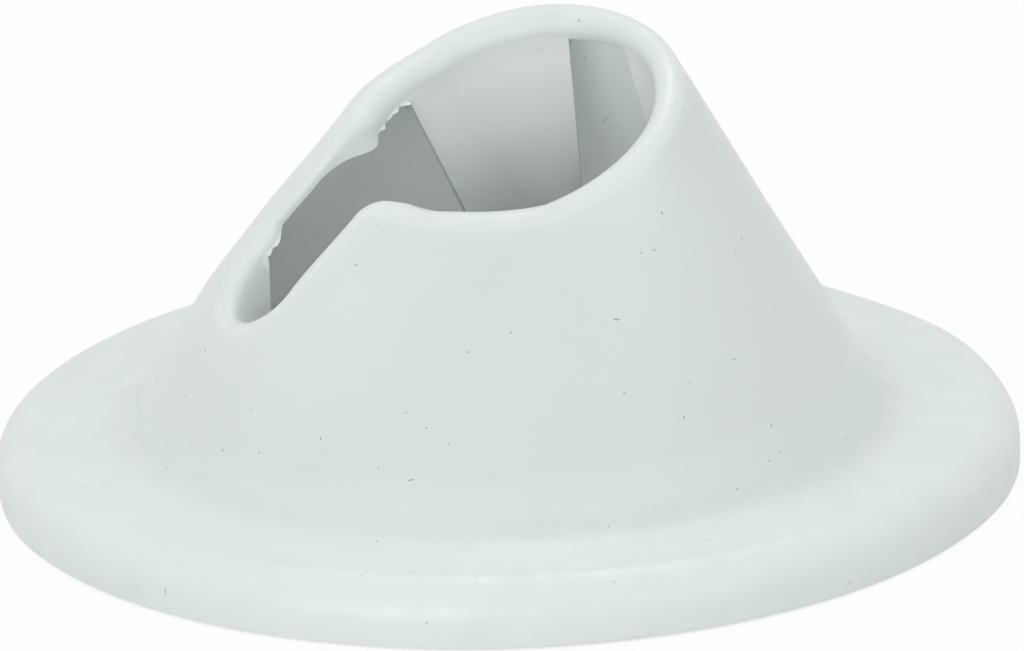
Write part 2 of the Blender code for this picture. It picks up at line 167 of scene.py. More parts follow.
@dataclass(frozen=True)
class Finish:
    """A surface finish with the material slot that it belongs to."""

    name: str
    slot: str

    def material(self) -> bpy.types.Material:
        """Make the finish's material on its first use.

        Returns:
            The material, which pieces of the same finish share.
        """
        known = bpy.data.materials.get(self.name)
        if known is not None:
            return known
        made = bpy.data.materials.new(self.name)
        made.use_nodes = True
        tree = made.node_tree
        tree.nodes.clear()
        place = add(tree, "ShaderNodeTexCoord").outputs["Object"]
        shader = add(tree, "ShaderNodeBsdfPrincipled", self.looks(tree, place))
        add(tree, "ShaderNodeOutputMaterial", {"Surface": shader.outputs[0]})
        return made

    def looks(self, tree: bpy.types.NodeTree, place: bpy.types.NodeSocket) -> dict[str, Any]:
        """Add the nodes of the finish; each kind of finish has its own.

        Args:
            tree: Node tree of the material.
            place: Socket with the position on the piece.

        Returns:
            Values and sockets for the shader, keyed by the input's name.
        """
        raise NotImplementedError


@dataclass(frozen=True)
class WhiteMoulding(Finish):
    """White ABS, moulded and then handled: cool white, satin, and milky enough to light the inside.

    Light soaks through the sloping wall.  The panels in the throat are painted whiter, a painted light that
    stands in for the light reaching them there.  The mesh tells where by its attribute zone.
    The eye also sees broad faint stains, a fine orange peel that softens the highlights, and a few dark
    specks of dust and short hairs.  Specks and hairs are drawn about twice their real width, so that they
    show at all.
    """

    clean: str = "#dbe3e1"
    stain: str = "#d3dbd8"
    deep: str = "#e4fced"
    # painted light: a near-white colour on the throat's panels, standing in for the light that reaches them
    panel_painted_light: str = "#fafffc"
    dirt: str = "#6d7068"
    stain_share: float = 0.35
    cloud_mm: float = 40.0
    mottle_mm: float = 7.0
    peel_mm: float = 1.6
    peel_depth: float = 0.00005
    speck_mm: float = 4.0
    hair_mm: float = 3.5
    speck_share: float = 0.4
    speck_radius: float = 0.045
    hair_radius: float = 0.042
    mark_weight: float = 0.6
    soak_mm: float = 9.0
    soak_power: float = 3.6
    roughness_low: float = 0.36
    roughness_high: float = 0.48

    def looks(self, tree: bpy.types.NodeTree, place: bpy.types.NodeSocket) -> dict[str, Any]:
        """Lay stains, the soaked wall's white, the dirt and the panels' painted light over the white.

        Two noises place the stains, and the second also varies the gloss.

        Args:
            tree: Node tree of the material.
            place: Socket with the position on the piece.

        Returns:
            Values and sockets for the shader, keyed by the input's name.
        """
        noises = (
            {"Vector": place, "Scale": per_metre(size), "Detail": detail}
            for size, detail in ((self.cloud_mm, 3.0), (self.mottle_mm, 2.0), (self.peel_mm, 1.0))
        )
        cloud, mottle, peel = (add(tree, "ShaderNodeTexNoise", noise).outputs[0] for noise in noises)
        blotch = add(tree, "ShaderNodeMath", {0: cloud, 1: mottle}, operation="MULTIPLY")
        stain = add(
            tree,
            "ShaderNodeMapRange",
            {"Value": blotch.outputs[0], "From Min": 0.14, "From Max": 0.40, "To Max": self.stain_share},
            interpolation_type="SMOOTHSTEP",
        )
        zone = add(tree, "ShaderNodeAttribute", attribute_name=ZONE).outputs["Vector"]
        soak, panel, _ = add(tree, "ShaderNodeSeparateXYZ", {0: zone}).outputs
        milky = add(tree, "ShaderNodeMath", {0: soak, 1: self.soak_power}, operation="POWER")
        layers = (
            (stain.outputs[0], self.stain),
            (milky.outputs[0], self.deep),
            (self.marks(tree, place), self.dirt),
            # painted light: the panels are mixed to a whiter colour for the light that reaches them
            (panel, self.panel_painted_light),
        )
        colour = linear(self.clean)
        for share, code in layers:
            shades = {0: share, MIX_A: colour, MIX_B: linear(code)}
            colour = add(tree, "ShaderNodeMix", shades, data_type="RGBA").outputs[MIX_RESULT]
        satin = add(
            tree,
            "ShaderNodeMapRange",
            {"Value": mottle, "From Min": 0.3, "From Max": 0.7,
             "To Min": self.roughness_low, "To Max": self.roughness_high},
        )
        bump = add(tree, "ShaderNodeBump", {"Strength": 0.2, "Distance": self.peel_depth, "Height": peel})
        return {
            "Base Color": colour,
            "Roughness": satin.outputs[0],
            "Normal": bump.outputs[0],
            "IOR": 1.52,
            "Subsurface Weight": soak,
            "Subsurface Radius": (1.0, 0.95, 0.93),
            "Subsurface Scale": self.soak_mm * MILLIMETRE,
        }

    def marks(self, tree: bpy.types.NodeTree, place: bpy.types.NodeSocket) -> bpy.types.NodeSocket:
        """Scatter round specks of dust and two sets of hairs, upright and level.

        Args:
            tree: Node tree of the material.
            place: Socket with the position on the piece.

        Returns:
            Socket with the weight of the dirt.
        """
        # Stretch, turn, cell and radius of the specks, the upright hairs and the level hairs
        patterns = (
            ((1.0, 1.0, 1.0), (0.3, 0.2, 0.5), self.speck_mm, self.speck_radius),
            ((1.0, 0.8, 0.12), (0.3, 0.2, 0.5), self.hair_mm, self.hair_radius),
            ((0.12, 1.0, 0.8), (0.2, 0.5, 0.7), self.hair_mm, self.hair_radius),
        )
        dust, upright, level = (self.specks(tree, place, *pattern) for pattern in patterns)
        hairs = add(tree, "ShaderNodeMath", {0: upright, 1: level}, operation="MAXIMUM")
        every = add(tree, "ShaderNodeMath", {0: dust, 1: hairs.outputs[0]}, operation="MAXIMUM")
        dirt = {0: every.outputs[0], 1: self.mark_weight}
        return add(tree, "ShaderNodeMath", dirt, operation="MULTIPLY").outputs[0]

    def specks(
        self,
        tree: bpy.types.NodeTree,
        place: bpy.types.NodeSocket,
        stretch: Place,
        turn: Place,
        cell_mm: float,
        radius: float,
    ) -> bpy.types.NodeSocket:
        """Draw one speck in a share of the cells of a Voronoi pattern.

        Args:
            tree: Node tree that takes the nodes.
            place: Socket with the position on the piece.
            stretch: Factors on the position; a small one makes a speck long in that direction.
            turn: Turn of the pattern about the three axes.
            cell_mm: Width of a cell.
            radius: Radius of a speck as a share of the cell.

        Returns:
            Socket that is 1 on a speck and 0 elsewhere.
        """
        mapped = add(tree, "ShaderNodeMapping", {"Vector": place, "Scale": stretch, "Rotation": turn})
        pattern = {"Vector": mapped.outputs[0], "Scale": per_metre(cell_mm)}
        cells = add(tree, "ShaderNodeTexVoronoi", pattern).outputs
        tint = add(tree, "ShaderNodeSeparateColor", {"Color": cells["Color"]}).outputs[0]
        chosen = add(tree, "ShaderNodeMath", {0: tint, 1: self.speck_share}, operation="LESS_THAN")
        near = add(tree, "ShaderNodeMath", {0: cells["Distance"], 1: radius}, operation="LESS_THAN")
        both = add(tree, "ShaderNodeMath", {0: chosen.outputs[0], 1: near.outputs[0]}, operation="MULTIPLY")
        return both.outputs[0]


@dataclass(frozen=True)
class MouldedNylon(Finish):
    """Grey nylon, moulded: a matt face with a fine spark-eroded grain and faint flow marks."""

    light: str = "#5d6165"
    dark: str = "#4b4f53"
    grain_mm: float = 0.7
    grain_depth: float = 0.00006
    flow_mm: float = 14.0
    roughness: float = 0.58

    def looks(self, tree: bpy.types.NodeTree, place: bpy.types.NodeSocket) -> dict[str, Any]:
        """Mix two greys by a broad noise and raise a fine grain.

        Args:
            tree: Node tree of the material.
            place: Socket with the position on the piece.

        Returns:
            Values and sockets for the shader, keyed by the input's name.
        """
        broad = {"Vector": place, "Scale": per_metre(self.flow_mm), "Detail": 4.0}
        fine = {"Vector": place, "Scale": per_metre(self.grain_mm), "Detail": 2.0}
        flow, grain = (add(tree, "ShaderNodeTexNoise", noise) for noise in (broad, fine))
        shades = {0: flow.outputs[0], MIX_A: linear(self.light), MIX_B: linear(self.dark)}
        grey = add(tree, "ShaderNodeMix", shades, data_type="RGBA")
        relief = {"Strength": 0.4, "Distance": self.grain_depth, "Height": grain.outputs[0]}
        return {
            "Base Color": grey.outputs[MIX_RESULT],
            "Normal": add(tree, "ShaderNodeBump", relief).outputs[0],
            "Roughness": self.roughness,
            "IOR": 1.53,
        }


@dataclass(frozen=True)
class CellularRubber(Finish):
    """Black closed-cell rubber, cut from sheet: dull, with small round cells and pale bloom."""

    black: str = "#1d1e1f"
    bloom: str = "#35373a"
    cell_mm: float = 0.9
    cell_depth: float = 0.0002
    bloom_mm: float = 9.0
    roughness: float = 0.86

    def looks(self, tree: bpy.types.NodeTree, place: bpy.types.NodeSocket) -> dict[str, Any]:
        """Sink round cells by a Voronoi distance and cloud the black with bloom.

        Args:
            tree: Node tree of the material.
            place: Socket with the position on the piece.

        Returns:
            Values and sockets for the shader, keyed by the input's name.
        """
        cells = add(tree, "ShaderNodeTexVoronoi", {"Vector": place, "Scale": per_metre(self.cell_mm)})
        clouds = {"Vector": place, "Scale": per_metre(self.bloom_mm), "Detail": 5.0}
        cloud = add(tree, "ShaderNodeTexNoise", clouds)
        shades = {0: cloud.outputs[0], MIX_A: linear(self.black), MIX_B: linear(self.bloom)}
        colour = add(tree, "ShaderNodeMix", shades, data_type="RGBA")
        relief = {"Strength": 0.7, "Distance": self.cell_depth, "Height": cells.outputs["Distance"]}
        return {
            "Base Color": colour.outputs[MIX_RESULT],
            "Normal": add(tree, "ShaderNodeBump", relief).outputs[0],
            "Roughness": self.roughness,
        }


@dataclass(frozen=True)
class TurnedAcetal(Finish):
    """Natural acetal, turned on a lathe: milky, slightly waxy, with fine rings of the tool."""

    milk: str = "#e9e5da"
    shade: str = "#dad5c6"
    ring_mm: float = 0.6
    ring_depth: float = 0.00004
    cloud_mm: float = 7.0
    roughness: float = 0.36

    def looks(self, tree: bpy.types.NodeTree, place: bpy.types.NodeSocket) -> dict[str, Any]:
        """Draw rings about Z for the tool marks and cloud the white.

        Args:
            tree: Node tree of the material.
            place: Socket with the position on the piece.

        Returns:
            Values and sockets for the shader, keyed by the input's name.
        """
        rings = add(
            tree,
            "ShaderNodeTexWave",
            {"Vector": place, "Scale": per_metre(self.ring_mm) / FULL_TURN},
            wave_type="RINGS",
            rings_direction="Z",
        )
        clouds = {"Vector": place, "Scale": per_metre(self.cloud_mm), "Detail": 3.0}
        cloud = add(tree, "ShaderNodeTexNoise", clouds)
        shades = {0: cloud.outputs[0], MIX_A: linear(self.milk), MIX_B: linear(self.shade)}
        colour = add(tree, "ShaderNodeMix", shades, data_type="RGBA")
        relief = {"Strength": 0.2, "Distance": self.ring_depth, "Height": rings.outputs["Fac"]}
        return {
            "Base Color": colour.outputs[MIX_RESULT],
            "Normal": add(tree, "ShaderNodeBump", relief).outputs[0],
            "Roughness": self.roughness,
            "IOR": 1.48,
        }


@dataclass(frozen=True)
class StainlessSteel(Finish):
    """Stainless steel, rolled and tumbled: grey, bright, with a fine scatter of rub marks."""

    steel: str = "#b9bab8"
    worn: str = "#d0d1cf"
    rub_mm: float = 0.8
    patch_mm: float = 5.0
    roughness_low: float = 0.22
    roughness_high: float = 0.42

    def looks(self, tree: bpy.types.NodeTree, place: bpy.types.NodeSocket) -> dict[str, Any]:
        """Vary the roughness by rub marks and the colour by worn patches.

        Args:
            tree: Node tree of the material.
            place: Socket with the position on the piece.

        Returns:
            Values and sockets for the shader, keyed by the input's name.
        """
        fine = {"Vector": place, "Scale": per_metre(self.rub_mm), "Detail": 6.0}
        broad = {"Vector": place, "Scale": per_metre(self.patch_mm), "Detail": 2.0}
        rub, patch = (add(tree, "ShaderNodeTexNoise", noise) for noise in (fine, broad))
        shades = {0: patch.outputs[0], MIX_A: linear(self.steel), MIX_B: linear(self.worn)}
        colour = add(tree, "ShaderNodeMix", shades, data_type="RGBA")
        gloss = add(
            tree,
            "ShaderNodeMapRange",
            {"Value": rub.outputs[0], "From Min": 0.3, "From Max": 0.7,
             "To Min": self.roughness_low, "To Max": self.roughness_high},
        )
        return {"Base Color": colour.outputs[MIX_RESULT], "Roughness": gloss.outputs[0], "Metallic": 1.0}


HOOD_WHITE = WhiteMoulding("white_abs_moulded", "white_moulding")
GRILLE_WHITE = WhiteMoulding("white_abs_grille", "white_grille", cloud_mm=15.0, speck_share=0.05)
COLLAR_GREY = MouldedNylon("grey_nylon_moulded", "grey_nylon")
SEAL_BLACK = CellularRubber("closed_cell_rubber", "gasket_rubber")
GLIDE_ACETAL = TurnedAcetal("natural_acetal_turned", "acetal")
SCREW_STEEL = StainlessSteel("stainless_steel_tumbled", "steel")


@dataclass
class Surface:
    """Grids and flat faces that become one mesh."""

    points: list[Array] = field(default_factory=list)
    faces: list[list[int]] = field(default_factory=list)
    zones: list[Array] = field(default_factory=list)
    count: int = 0

    def grid(
        self, points: Array, around: bool = True, along: bool = False, zone: Array | float = 0.0
    ) -> Array:
        """Add a grid of quads.

        Args:
            points: Points in rows and columns.
            around: Whether the last column joins the first.
            along: Whether the last row joins the first.
            zone: Values of the attribute zone, spread over rows, columns and the three parts.

        Returns:
            The numbers of the points, in rows and columns.
        """
        rows, columns, _ = points.shape
        numbers = self.count + np.arange(rows * columns).reshape(rows, columns)
        right = np.roll(numbers, -1, axis=1)
        below = np.roll(numbers, -1, axis=0)
        corner = np.roll(right, -1, axis=0)
        quads = np.stack([numbers, right, corner, below], axis=-1)
        quads = quads[: rows if along else rows - 1, : columns if around else columns - 1]
        self.points.append(points.reshape(-1, 3))
        self.zones.append(np.broadcast_to(zone, points.shape).reshape(-1, 3))
        self.faces.extend(quads.reshape(-1, 4).tolist())
        self.count += rows * columns
        return numbers

    def rod(self, points: Array) -> None:
        """Add a tube of quads and close both its ends with flat faces."""
        numbers = self.grid(points)
        self.faces.extend(numbers[[0, -1]].tolist())

    def build(self, name: str) -> bpy.types.Object:
        """Make the mesh object, welded, facing outwards and smooth up to the sharp angle.

        Args:
            name: Name of the object and of its mesh.

        Returns:
            The object, in the scene.
        """
        mesh = bpy.data.meshes.new(name)
        mesh.from_pydata(np.concatenate(self.points), [], self.faces)
        zone = np.concatenate(self.zones)
        if zone.any():
            mesh.attributes.new(ZONE, "FLOAT_VECTOR", "POINT").data.foreach_set("vector", zone.ravel())
        work = bmesh.new()
        work.from_mesh(mesh)
        bmesh.ops.remove_doubles(work, verts=work.verts, dist=WELD)
        bmesh.ops.recalc_face_normals(work, faces=work.faces)
        work.to_mesh(mesh)
        work.free()
        shade(mesh)
        made = bpy.data.objects.new(name, mesh)
        bpy.context.scene.collection.objects.link(made)
        return made


def shade(mesh: bpy.types.Mesh) -> None:
    """Shade a mesh smooth, with sharp edges past the sharp angle."""
    mesh.shade_smooth()
    mesh.set_sharp_from_angle(angle=SHARP_ANGLE)


def box_section(inner: float, outer: float, bottom: float, top: float) -> Array:
    """Return the four corners of an upright rectangle, as distance across and height."""
    return np.array([[inner, bottom], [outer, bottom], [outer, top], [inner, top]])


def rounded(corners: Array, radius: float, steps: int = 5) -> Array:
    """Round a closed profile: each corner becomes a quadratic curve between its two neighbours.

    Args:
        corners: Corners of the profile, one a row.
        radius: Distance from a corner at which its curve starts, cut to a share of a short side.
        steps: Points on each curve.

    Returns:
        Points of the rounded profile.
    """
    before = np.roll(corners, 1, axis=0) - corners
    after = np.roll(corners, -1, axis=0) - corners
    shorter = np.minimum(np.linalg.norm(before, axis=1), np.linalg.norm(after, axis=1))
    reach = np.minimum(radius, ROUND_LIMIT * shorter)[:, None]
    start = (corners + reach * unit(before))[:, None]
    end = (corners + reach * unit(after))[:, None]
    share = np.linspace(0.0, 1.0, steps)[None, :, None]
    curve = (1.0 - share) ** 2 * start + 2.0 * share * (1.0 - share) * corners[:, None] + share**2 * end
    return curve.reshape(-1, corners.shape[1])


def revolved(profile: Array, steps: int, centre: Spot = (0.0, 0.0)) -> Array:
    """Carry a profile round an upright axis: each point goes round a circle of its own radius.

    Args:
        profile: Radius and height of each point.
        steps: Columns in a full turn.
        centre: Place of the axis.

    Returns:
        Points with rows along the profile and columns around the axis.
    """
    angle = np.linspace(0.0, FULL_TURN, steps, endpoint=False)
    radius, height = profile[:, :1], profile[:, 1:]
    across = centre[0] + radius * np.cos(angle)
    forward = centre[1] + radius * np.sin(angle)
    return np.stack([across, forward, height + 0.0 * angle], axis=-1)


def turned(name: str, corners: Array, edge: float, steps: int) -> bpy.types.Object:
    """Turn a closed section with rounded corners about Z into a ring.

    Args:
        name: Name of the object.
        corners: Radius and height of the section's corners.
        edge: Rounding of the corners.
        steps: Columns in a full turn.

    Returns:
        The ring.
    """
    surface = Surface()
    surface.grid(revolved(rounded(corners, edge), steps), along=True)
    return surface.build(name)


def circle_points(count: int, radius: float) -> list[Spot]:
    """Return a round pattern of places, starting half a step from +X."""
    angle = FULL_TURN * (np.arange(count) + 0.5) / count
    return list(zip(radius * np.cos(angle), radius * np.sin(angle)))


def drill(piece: bpy.types.Object, places: list[Spot], profile: Array) -> None:
    """Cut the same turned hole at several places and keep the result as the piece's own mesh.

    Args:
        piece: Object to cut.
        places: Centres of the holes.
        profile: Radius and height of the cutter, from axis to axis.
    """
    surface = Surface()
    for place in places:
        surface.grid(revolved(profile, HOLE_STEPS, place))
    cutter = surface.build(piece.name + "_drill")
    cut = piece.modifiers.new("drill", "BOOLEAN")
    cut.operation = "DIFFERENCE"
    cut.object = cutter
    graph = bpy.context.evaluated_depsgraph_get()
    whole = piece.data
    piece.data = bpy.data.meshes.new_from_object(piece.evaluated_get(graph))
    piece.data.name = piece.name
    piece.modifiers.clear()
    shade(piece.data)
    bpy.data.meshes.remove(whole)
    bpy.data.objects.remove(cutter)


def hole_profile(radius: float, bottom: float, top: float, flare: float) -> Array:
    """Return a cutter for a hole that opens out by twice the flare at both faces.

    Args:
        radius: Radius of the hole.
        bottom: Height of the lower face.
        top: Height of the upper face.
        flare: Depth of the opened ends.

    Returns:
        Radius and height of the cutter's corners, from axis to axis.
    """
    over = 2.0 * flare
    return np.array([
        [0.0, bottom - flare],
        [radius + over, bottom - flare],
        [radius, bottom + flare],
        [radius, top - flare],
        [radius + over, top + flare],
        [0.0, top + flare],
    ])


def fit(piece: bpy.types.Object, finish: Finish, body: Body, node: str) -> bpy.types.Object:
    """Dress a piece and put it in the place of its CAD node.

    Args:
        piece: The finished mesh object.
        finish: Finish of its whole surface.
        body: Body that it rides on.
        node: CAD node that it stands for.

    Returns:
        The piece.
    """
    piece.data.materials.clear()
    piece.data.materials.append(finish.material())
    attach(piece, body.value)
    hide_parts(node)
    return piece


@dataclass
class Screw:
    """A pan-head screw with a cross recess and a rolled thread."""

    name: str
    node: str
    body: Body
    place: Spot
    seat: float
    tip: float
    radius: float
    head_radius: float
    head_height: float
    cross_width: float = 0.13
    cross_length: float = 0.56
    cross_soft: float = 0.10
    cross_depth: float = 0.55
    steps: int = 64
    dome_rows: int = 22
    thread_rows: int = 64
    thread_pitch: float = 0.0008
    thread_depth: float = 0.20
    tip_share: float = 0.35
    tip_steepness: float = 8.0
    dome_fall: float = 0.5

    def arm(self, side: Array, length: Array) -> Array:
        """Return 1 inside one arm of the cross and 0 outside it: a product of two soft steps.

        Args:
            side: Distances across the arm.
            length: Distances along the arm.

        Returns:
            Values from 0 to 1.
        """
        soft = self.cross_soft * self.head_radius
        within_side = smooth_step((self.cross_width * self.head_radius - np.abs(side)) / soft + 0.5)
        within_length = smooth_step((self.cross_length * self.head_radius - np.abs(length)) / soft + 0.5)
        return within_side * within_length

    def build(self) -> bpy.types.Object:
        """Revolve the head, the thread and the tip as one grid.

        The head's height falls with the fourth power of the radius and is sunk by the cross.  The
        thread's radius is a triangle wave of height over pitch less angle over a full turn.

        Returns:
            The screw.
        """
        up = 1.0 if self.seat > self.tip else -1.0
        length = abs(self.tip - self.seat)
        angle = np.linspace(0.0, FULL_TURN, self.steps, endpoint=False)[None, :]
        share = np.linspace(0.0, 1.0, self.dome_rows)[:, None]
        dome_radius = self.head_radius * share + 0.0 * angle
        across, forward = dome_radius * np.cos(angle), dome_radius * np.sin(angle)
        sunk = np.maximum(self.arm(across, forward), self.arm(forward, across))
        dome_height = self.head_height * (1.0 - self.dome_fall * share**4 - self.cross_depth * sunk)

        down = np.linspace(0.0, 1.0, self.thread_rows)[:, None]
        wave = np.abs(((length * down / self.thread_pitch - angle / FULL_TURN) % 1.0) * 2.0 - 1.0)
        taper = smooth_step((1.0 - down) * self.tip_steepness)
        rolled = 1.0 - self.thread_depth + self.thread_depth * wave
        thread_radius = self.radius * rolled * (self.tip_share + (1.0 - self.tip_share) * taper)

        flat = 0.0 * angle
        radii = np.concatenate([dome_radius, self.head_radius + flat, thread_radius, flat])
        heights = np.concatenate([dome_height, flat, flat - length * down, flat - length])
        middle = np.array([*self.place, self.seat])
        spread = np.stack([radii * np.cos(angle), radii * np.sin(angle), up * heights], axis=-1)
        surface = Surface()
        surface.grid(middle + spread)
        return fit(surface.build(self.name), SCREW_STEEL, self.body, self.node)


@dataclass(frozen=True)
class MouthEdge:
    """The columns of the hood's grid where the sloping wall meets the lip."""

    turn: Array
    plain_turn: Array
    rise: Array
    foot_turn: Array
    across: Array
    down: Array
    mouth_share: Array

    def angle(self, slot_turn: float) -> Array:
        """Return the columns' angles from -X before the slot is swept, from -pi to pi."""
        return (self.plain_turn + slot_turn + math.pi) % FULL_TURN - math.pi


@dataclass
class Hood:
    """The moulded hood: round flange, leaning cone, slotted mouth and the panels in its throat."""

    flange_radius: float = 0.100
    flange_bottom: float = 0.0005
    flange_top: float = 0.0117
    edge_radius: float = 0.007
    wall: float = 0.0024
    crease_radius: float = 0.074
    crease_forward: float = 0.010
    brim_rise: float = 0.0018
    crease_fillet: float = 0.004
    mouth_radius: float = 0.0281
    mouth_centre: Place = (0.0030, -0.0217, 0.0734)
    mouth_lean: float = math.radians(23.2)
    mouth_tip: float = math.radians(13.2)
    lip_radius: float = 0.0044
    rear_lip_radius: float = 0.0029
    rear_lip_start: float = math.radians(92.0)
    rear_lip_blend: float = math.radians(74.5)
    skirt_wall: float = 0.0003
    slot_width: float = 0.0260
    slot_length: float = 0.0350
    slot_lip_radius: float = 0.003
    far_lip_radius: float = 0.0019
    far_lip_start: float = 0.728
    far_lip_blend: float = 0.035
    shoulder_radius: float = 0.003
    slot_turn: float = math.radians(21.2)
    slot_sweep: float = -0.085
    slot_shift: float = -0.0007
    ridge: float = 0.0046
    ridge_reach: float = 0.0453
    ridge_at_mouth: float = 0.0028
    shoulder_lift: float = 0.0010
    shoulder_turn: float = 0.33
    shoulder_reach: float = 0.40
    shoulder_start: float = 0.55
    panel_start: float = math.radians(32.3)
    panel_end: float = math.radians(116.1)
    window_end: float = math.radians(146.0)
    panel_depth: float = 0.046
    panel_taper: Spot = (0.36, -0.185)
    lip_return: float = 0.0003
    slot_side_depth: float = 0.0004
    end_wall_plane: float = -0.0436
    end_wall_depth: float = 0.014
    least_slope: float = 0.2
    hump_depth: float = 0.0039
    hump_turn: float = math.radians(-30.2)
    hump_reach: float = math.radians(6.5)
    slot_flash: Bumps = (
        (-0.0421, 0.0011, 0.0009), (-0.0436, 0.0014, 0.0006), (-0.0447, 0.0010, 0.0005)
    )
    notch_flash: Bumps = (
        (-38.0, 0.0005, 3.6), (-45.5, 0.0004, 3.0), (-50.0, 0.0007, 3.4), (-56.6, 0.0015, 3.0)
    )
    wave_height: float = 0.00005
    wave_lengths: Spot = (0.024, 0.060)
    wave_count: int = 6
    wave_seed: int = 7
    boss_radius: float = 0.0042
    boss_bevel: float = 0.0004
    boss_bottom: float = 0.0080
    boss_circle: float = 0.0888
    boss_count: int = 6
    boss_steps: int = 32
    band_steps: int = 3
    roll_steps: int = 12
    brim_steps: int = 5
    cap_steps: int = 22
    side_steps: int = 40
    shoulder_steps: int = 14
    rim_steps: int = 175
    fillet_steps: int = 8
    wall_steps: int = 30
    lip_steps: int = 11
    skirt_steps: int = 9
    soak_steps: int = 4
    probe: float = 1e-5
    break_gap: float = math.radians(0.02)

    @property
    def rim_radius(self) -> float:
        """Return the radius at which the wall meets the lip."""
        return self.mouth_radius + self.lip_radius

    def mouth_axes(self) -> tuple[Array, Array, Array]:
        """Work out the mouth's plane: leaned about X, then tipped sideways.

        Returns:
            Its centre and its in-plane axes, back along +X and left along +Y.
        """
        lean_cos, lean_sin = math.cos(self.mouth_lean), math.sin(self.mouth_lean)
        tip_cos, tip_sin = math.cos(self.mouth_tip), math.sin(self.mouth_tip)
        back = np.array([tip_cos, -tip_sin * lean_sin, tip_sin * lean_cos])
        left = np.array([0.0, lean_cos, lean_sin])
        return np.array(self.mouth_centre), back, left

    def crease(self, turn: Array) -> Array:
        """Find points of the crease, a level circle set forward of the axis.

        Args:
            turn: Angles counted from the slot.

        Returns:
            Points, with one more axis than the angles.
        """
        angle = turn + self.slot_turn
        along = np.stack([-np.cos(angle), -np.sin(angle), np.zeros_like(angle)], axis=-1)
        middle = np.array([0.0, -self.crease_forward, self.flange_top + self.brim_rise])
        return middle + self.crease_radius * along

    def spoke(self, turn: Array) -> Array:
        """Work out unit spokes of the mouth.

        Args:
            turn: Angles counted from the slot.

        Returns:
            Unit vectors, with one more axis than the angles.
        """
        _, back, left = self.mouth_axes()
        angle = (turn + self.slot_turn)[..., None]
        return -np.cos(angle) * back - np.sin(angle) * left

    def ridge_direction(self) -> Array:
        """Work out the direction in which the ridge round the slot stands off the wall.

        Returns:
            The slot's spoke less its part along the wall's slope, made one long.
        """
        slot = np.array(0.0)
        spoke = self.spoke(slot)
        slope = unit(self.crease(slot) - self.mouth_axes()[0] - self.rim_radius * spoke)
        return unit(spoke - np.dot(spoke, slope) * slope)

    def wall_point(self, turn: Array, rise: Array) -> Array:
        """Find points of the wall, ruled from the crease (rise 0) to the mouth (rise 1).

        The ridge is added along one direction.  Its height grows over the lower half of the wall and
        drops again near the mouth, and it fades sideways to nothing at the ridge's reach.  A small
        extra lift raises the shoulder on the slot's near side.

        Args:
            turn: Angles counted from the slot.
            rise: Shares of the way from the crease to the mouth.

        Returns:
            Points, with one more axis than the angles.
        """
        rim = self.mouth_axes()[0] + self.rim_radius * self.spoke(turn)
        share = rise[..., None]
        plain = self.crease(turn) * (1.0 - share) + rim * share
        reach = np.abs(turn) * (self.crease_radius + (self.rim_radius - self.crease_radius) * rise)
        height = self.ridge * smooth_step(2.0 * rise)
        height = height + (self.ridge_at_mouth - self.ridge) * smooth_step(3.0 * rise - 2.0)
        swell = height * smooth_step(2.0 - 2.0 * reach / self.ridge_reach)
        near = smooth_step(1.0 - np.abs(turn - self.shoulder_turn) / self.shoulder_reach)
        high = smooth_step((rise - self.shoulder_start) / (1.0 - self.shoulder_start))
        swell = swell + self.shoulder_lift * near * high
        return plain + swell[..., None] * self.ridge_direction()

    def wall_axes(self, turn: Array, rise: Array) -> tuple[Array, Array, Array]:
        """Work out the wall's directions from small steps around it and down it.

        Args:
            turn: Angles counted from the slot.
            rise: Shares of the way from the crease to the mouth.

        Returns:
            Unit directions: around, down the slope and outward, square to each other.
        """
        step = self.probe
        around = unit(self.wall_point(turn + step, rise) - self.wall_point(turn - step, rise))
        down = unit(self.wall_point(turn, rise - step) - self.wall_point(turn, rise + step))
        outward = unit(np.cross(down, around))
        return around, np.cross(around, outward), outward

    def rim_run(self, start: float) -> Array:
        """Space the columns of the mouth's half, with a close pair at each cut edge of the throat.

        Args:
            start: Distance along the rim at which the shoulder ends.

        Returns:
            Distances along the rim, in order.
        """
        cuts = np.array([self.panel_start, self.panel_end, self.window_end])
        breaks = np.abs(np.concatenate([-cuts, cuts]) - self.slot_turn)
        pairs = breaks[:, None] + self.break_gap * np.array([-1.0, 1.0])
        pairs = pairs[pairs * self.rim_radius > start + self.probe]
        even = np.linspace(start, math.pi * self.rim_radius, self.rim_steps)
        return np.unique(np.concatenate([even, pairs.ravel() * self.rim_radius]))

    def mirrored(self, values: Array, sign: float) -> Array:
        """Follow one half's columns by the other half's, in the order round the edge."""
        return np.concatenate([values, sign * values[-2:0:-1]])

    def edge(self) -> MouthEdge:
        """Lay out the edge of mouth and slot as columns.

        The edge is drawn on the unrolled wall, across and down from the mouth: a round slot end, a
        straight side, a round shoulder and the mouth.  One half is drawn and mirrored, and the slot is
        shifted sideways and swept towards the mouth.

        Returns:
            The columns, from the slot's end all the way round.
        """
        half = self.slot_width / 2.0
        top = np.array(0.0)
        slope = np.linalg.norm(self.wall_point(top, top + 1.0) - self.crease(top))
        end_centre = self.slot_length - half
        shoulder = self.shoulder_radius

        cap = np.linspace(0.0, QUARTER_TURN, self.cap_steps, endpoint=False)
        side = np.linspace(end_centre, shoulder, self.side_steps, endpoint=False)
        bend = np.linspace(0.0, QUARTER_TURN, self.shoulder_steps, endpoint=False)
        rim = self.rim_run(half + shoulder)

        across = np.concatenate([
            half * np.sin(cap), np.full_like(side, half), half + shoulder * (1.0 - np.cos(bend)), rim
        ])
        below = np.concatenate([
            end_centre + half * np.cos(cap), side, shoulder * (1.0 - np.sin(bend)), np.zeros_like(rim)
        ])
        to_across = np.concatenate([
            -np.sin(cap), np.full_like(side, -1.0), -np.cos(bend), np.zeros_like(rim)
        ])
        to_down = np.concatenate([
            -np.cos(cap), np.zeros_like(side), -np.sin(bend), np.full_like(rim, -1.0)
        ])

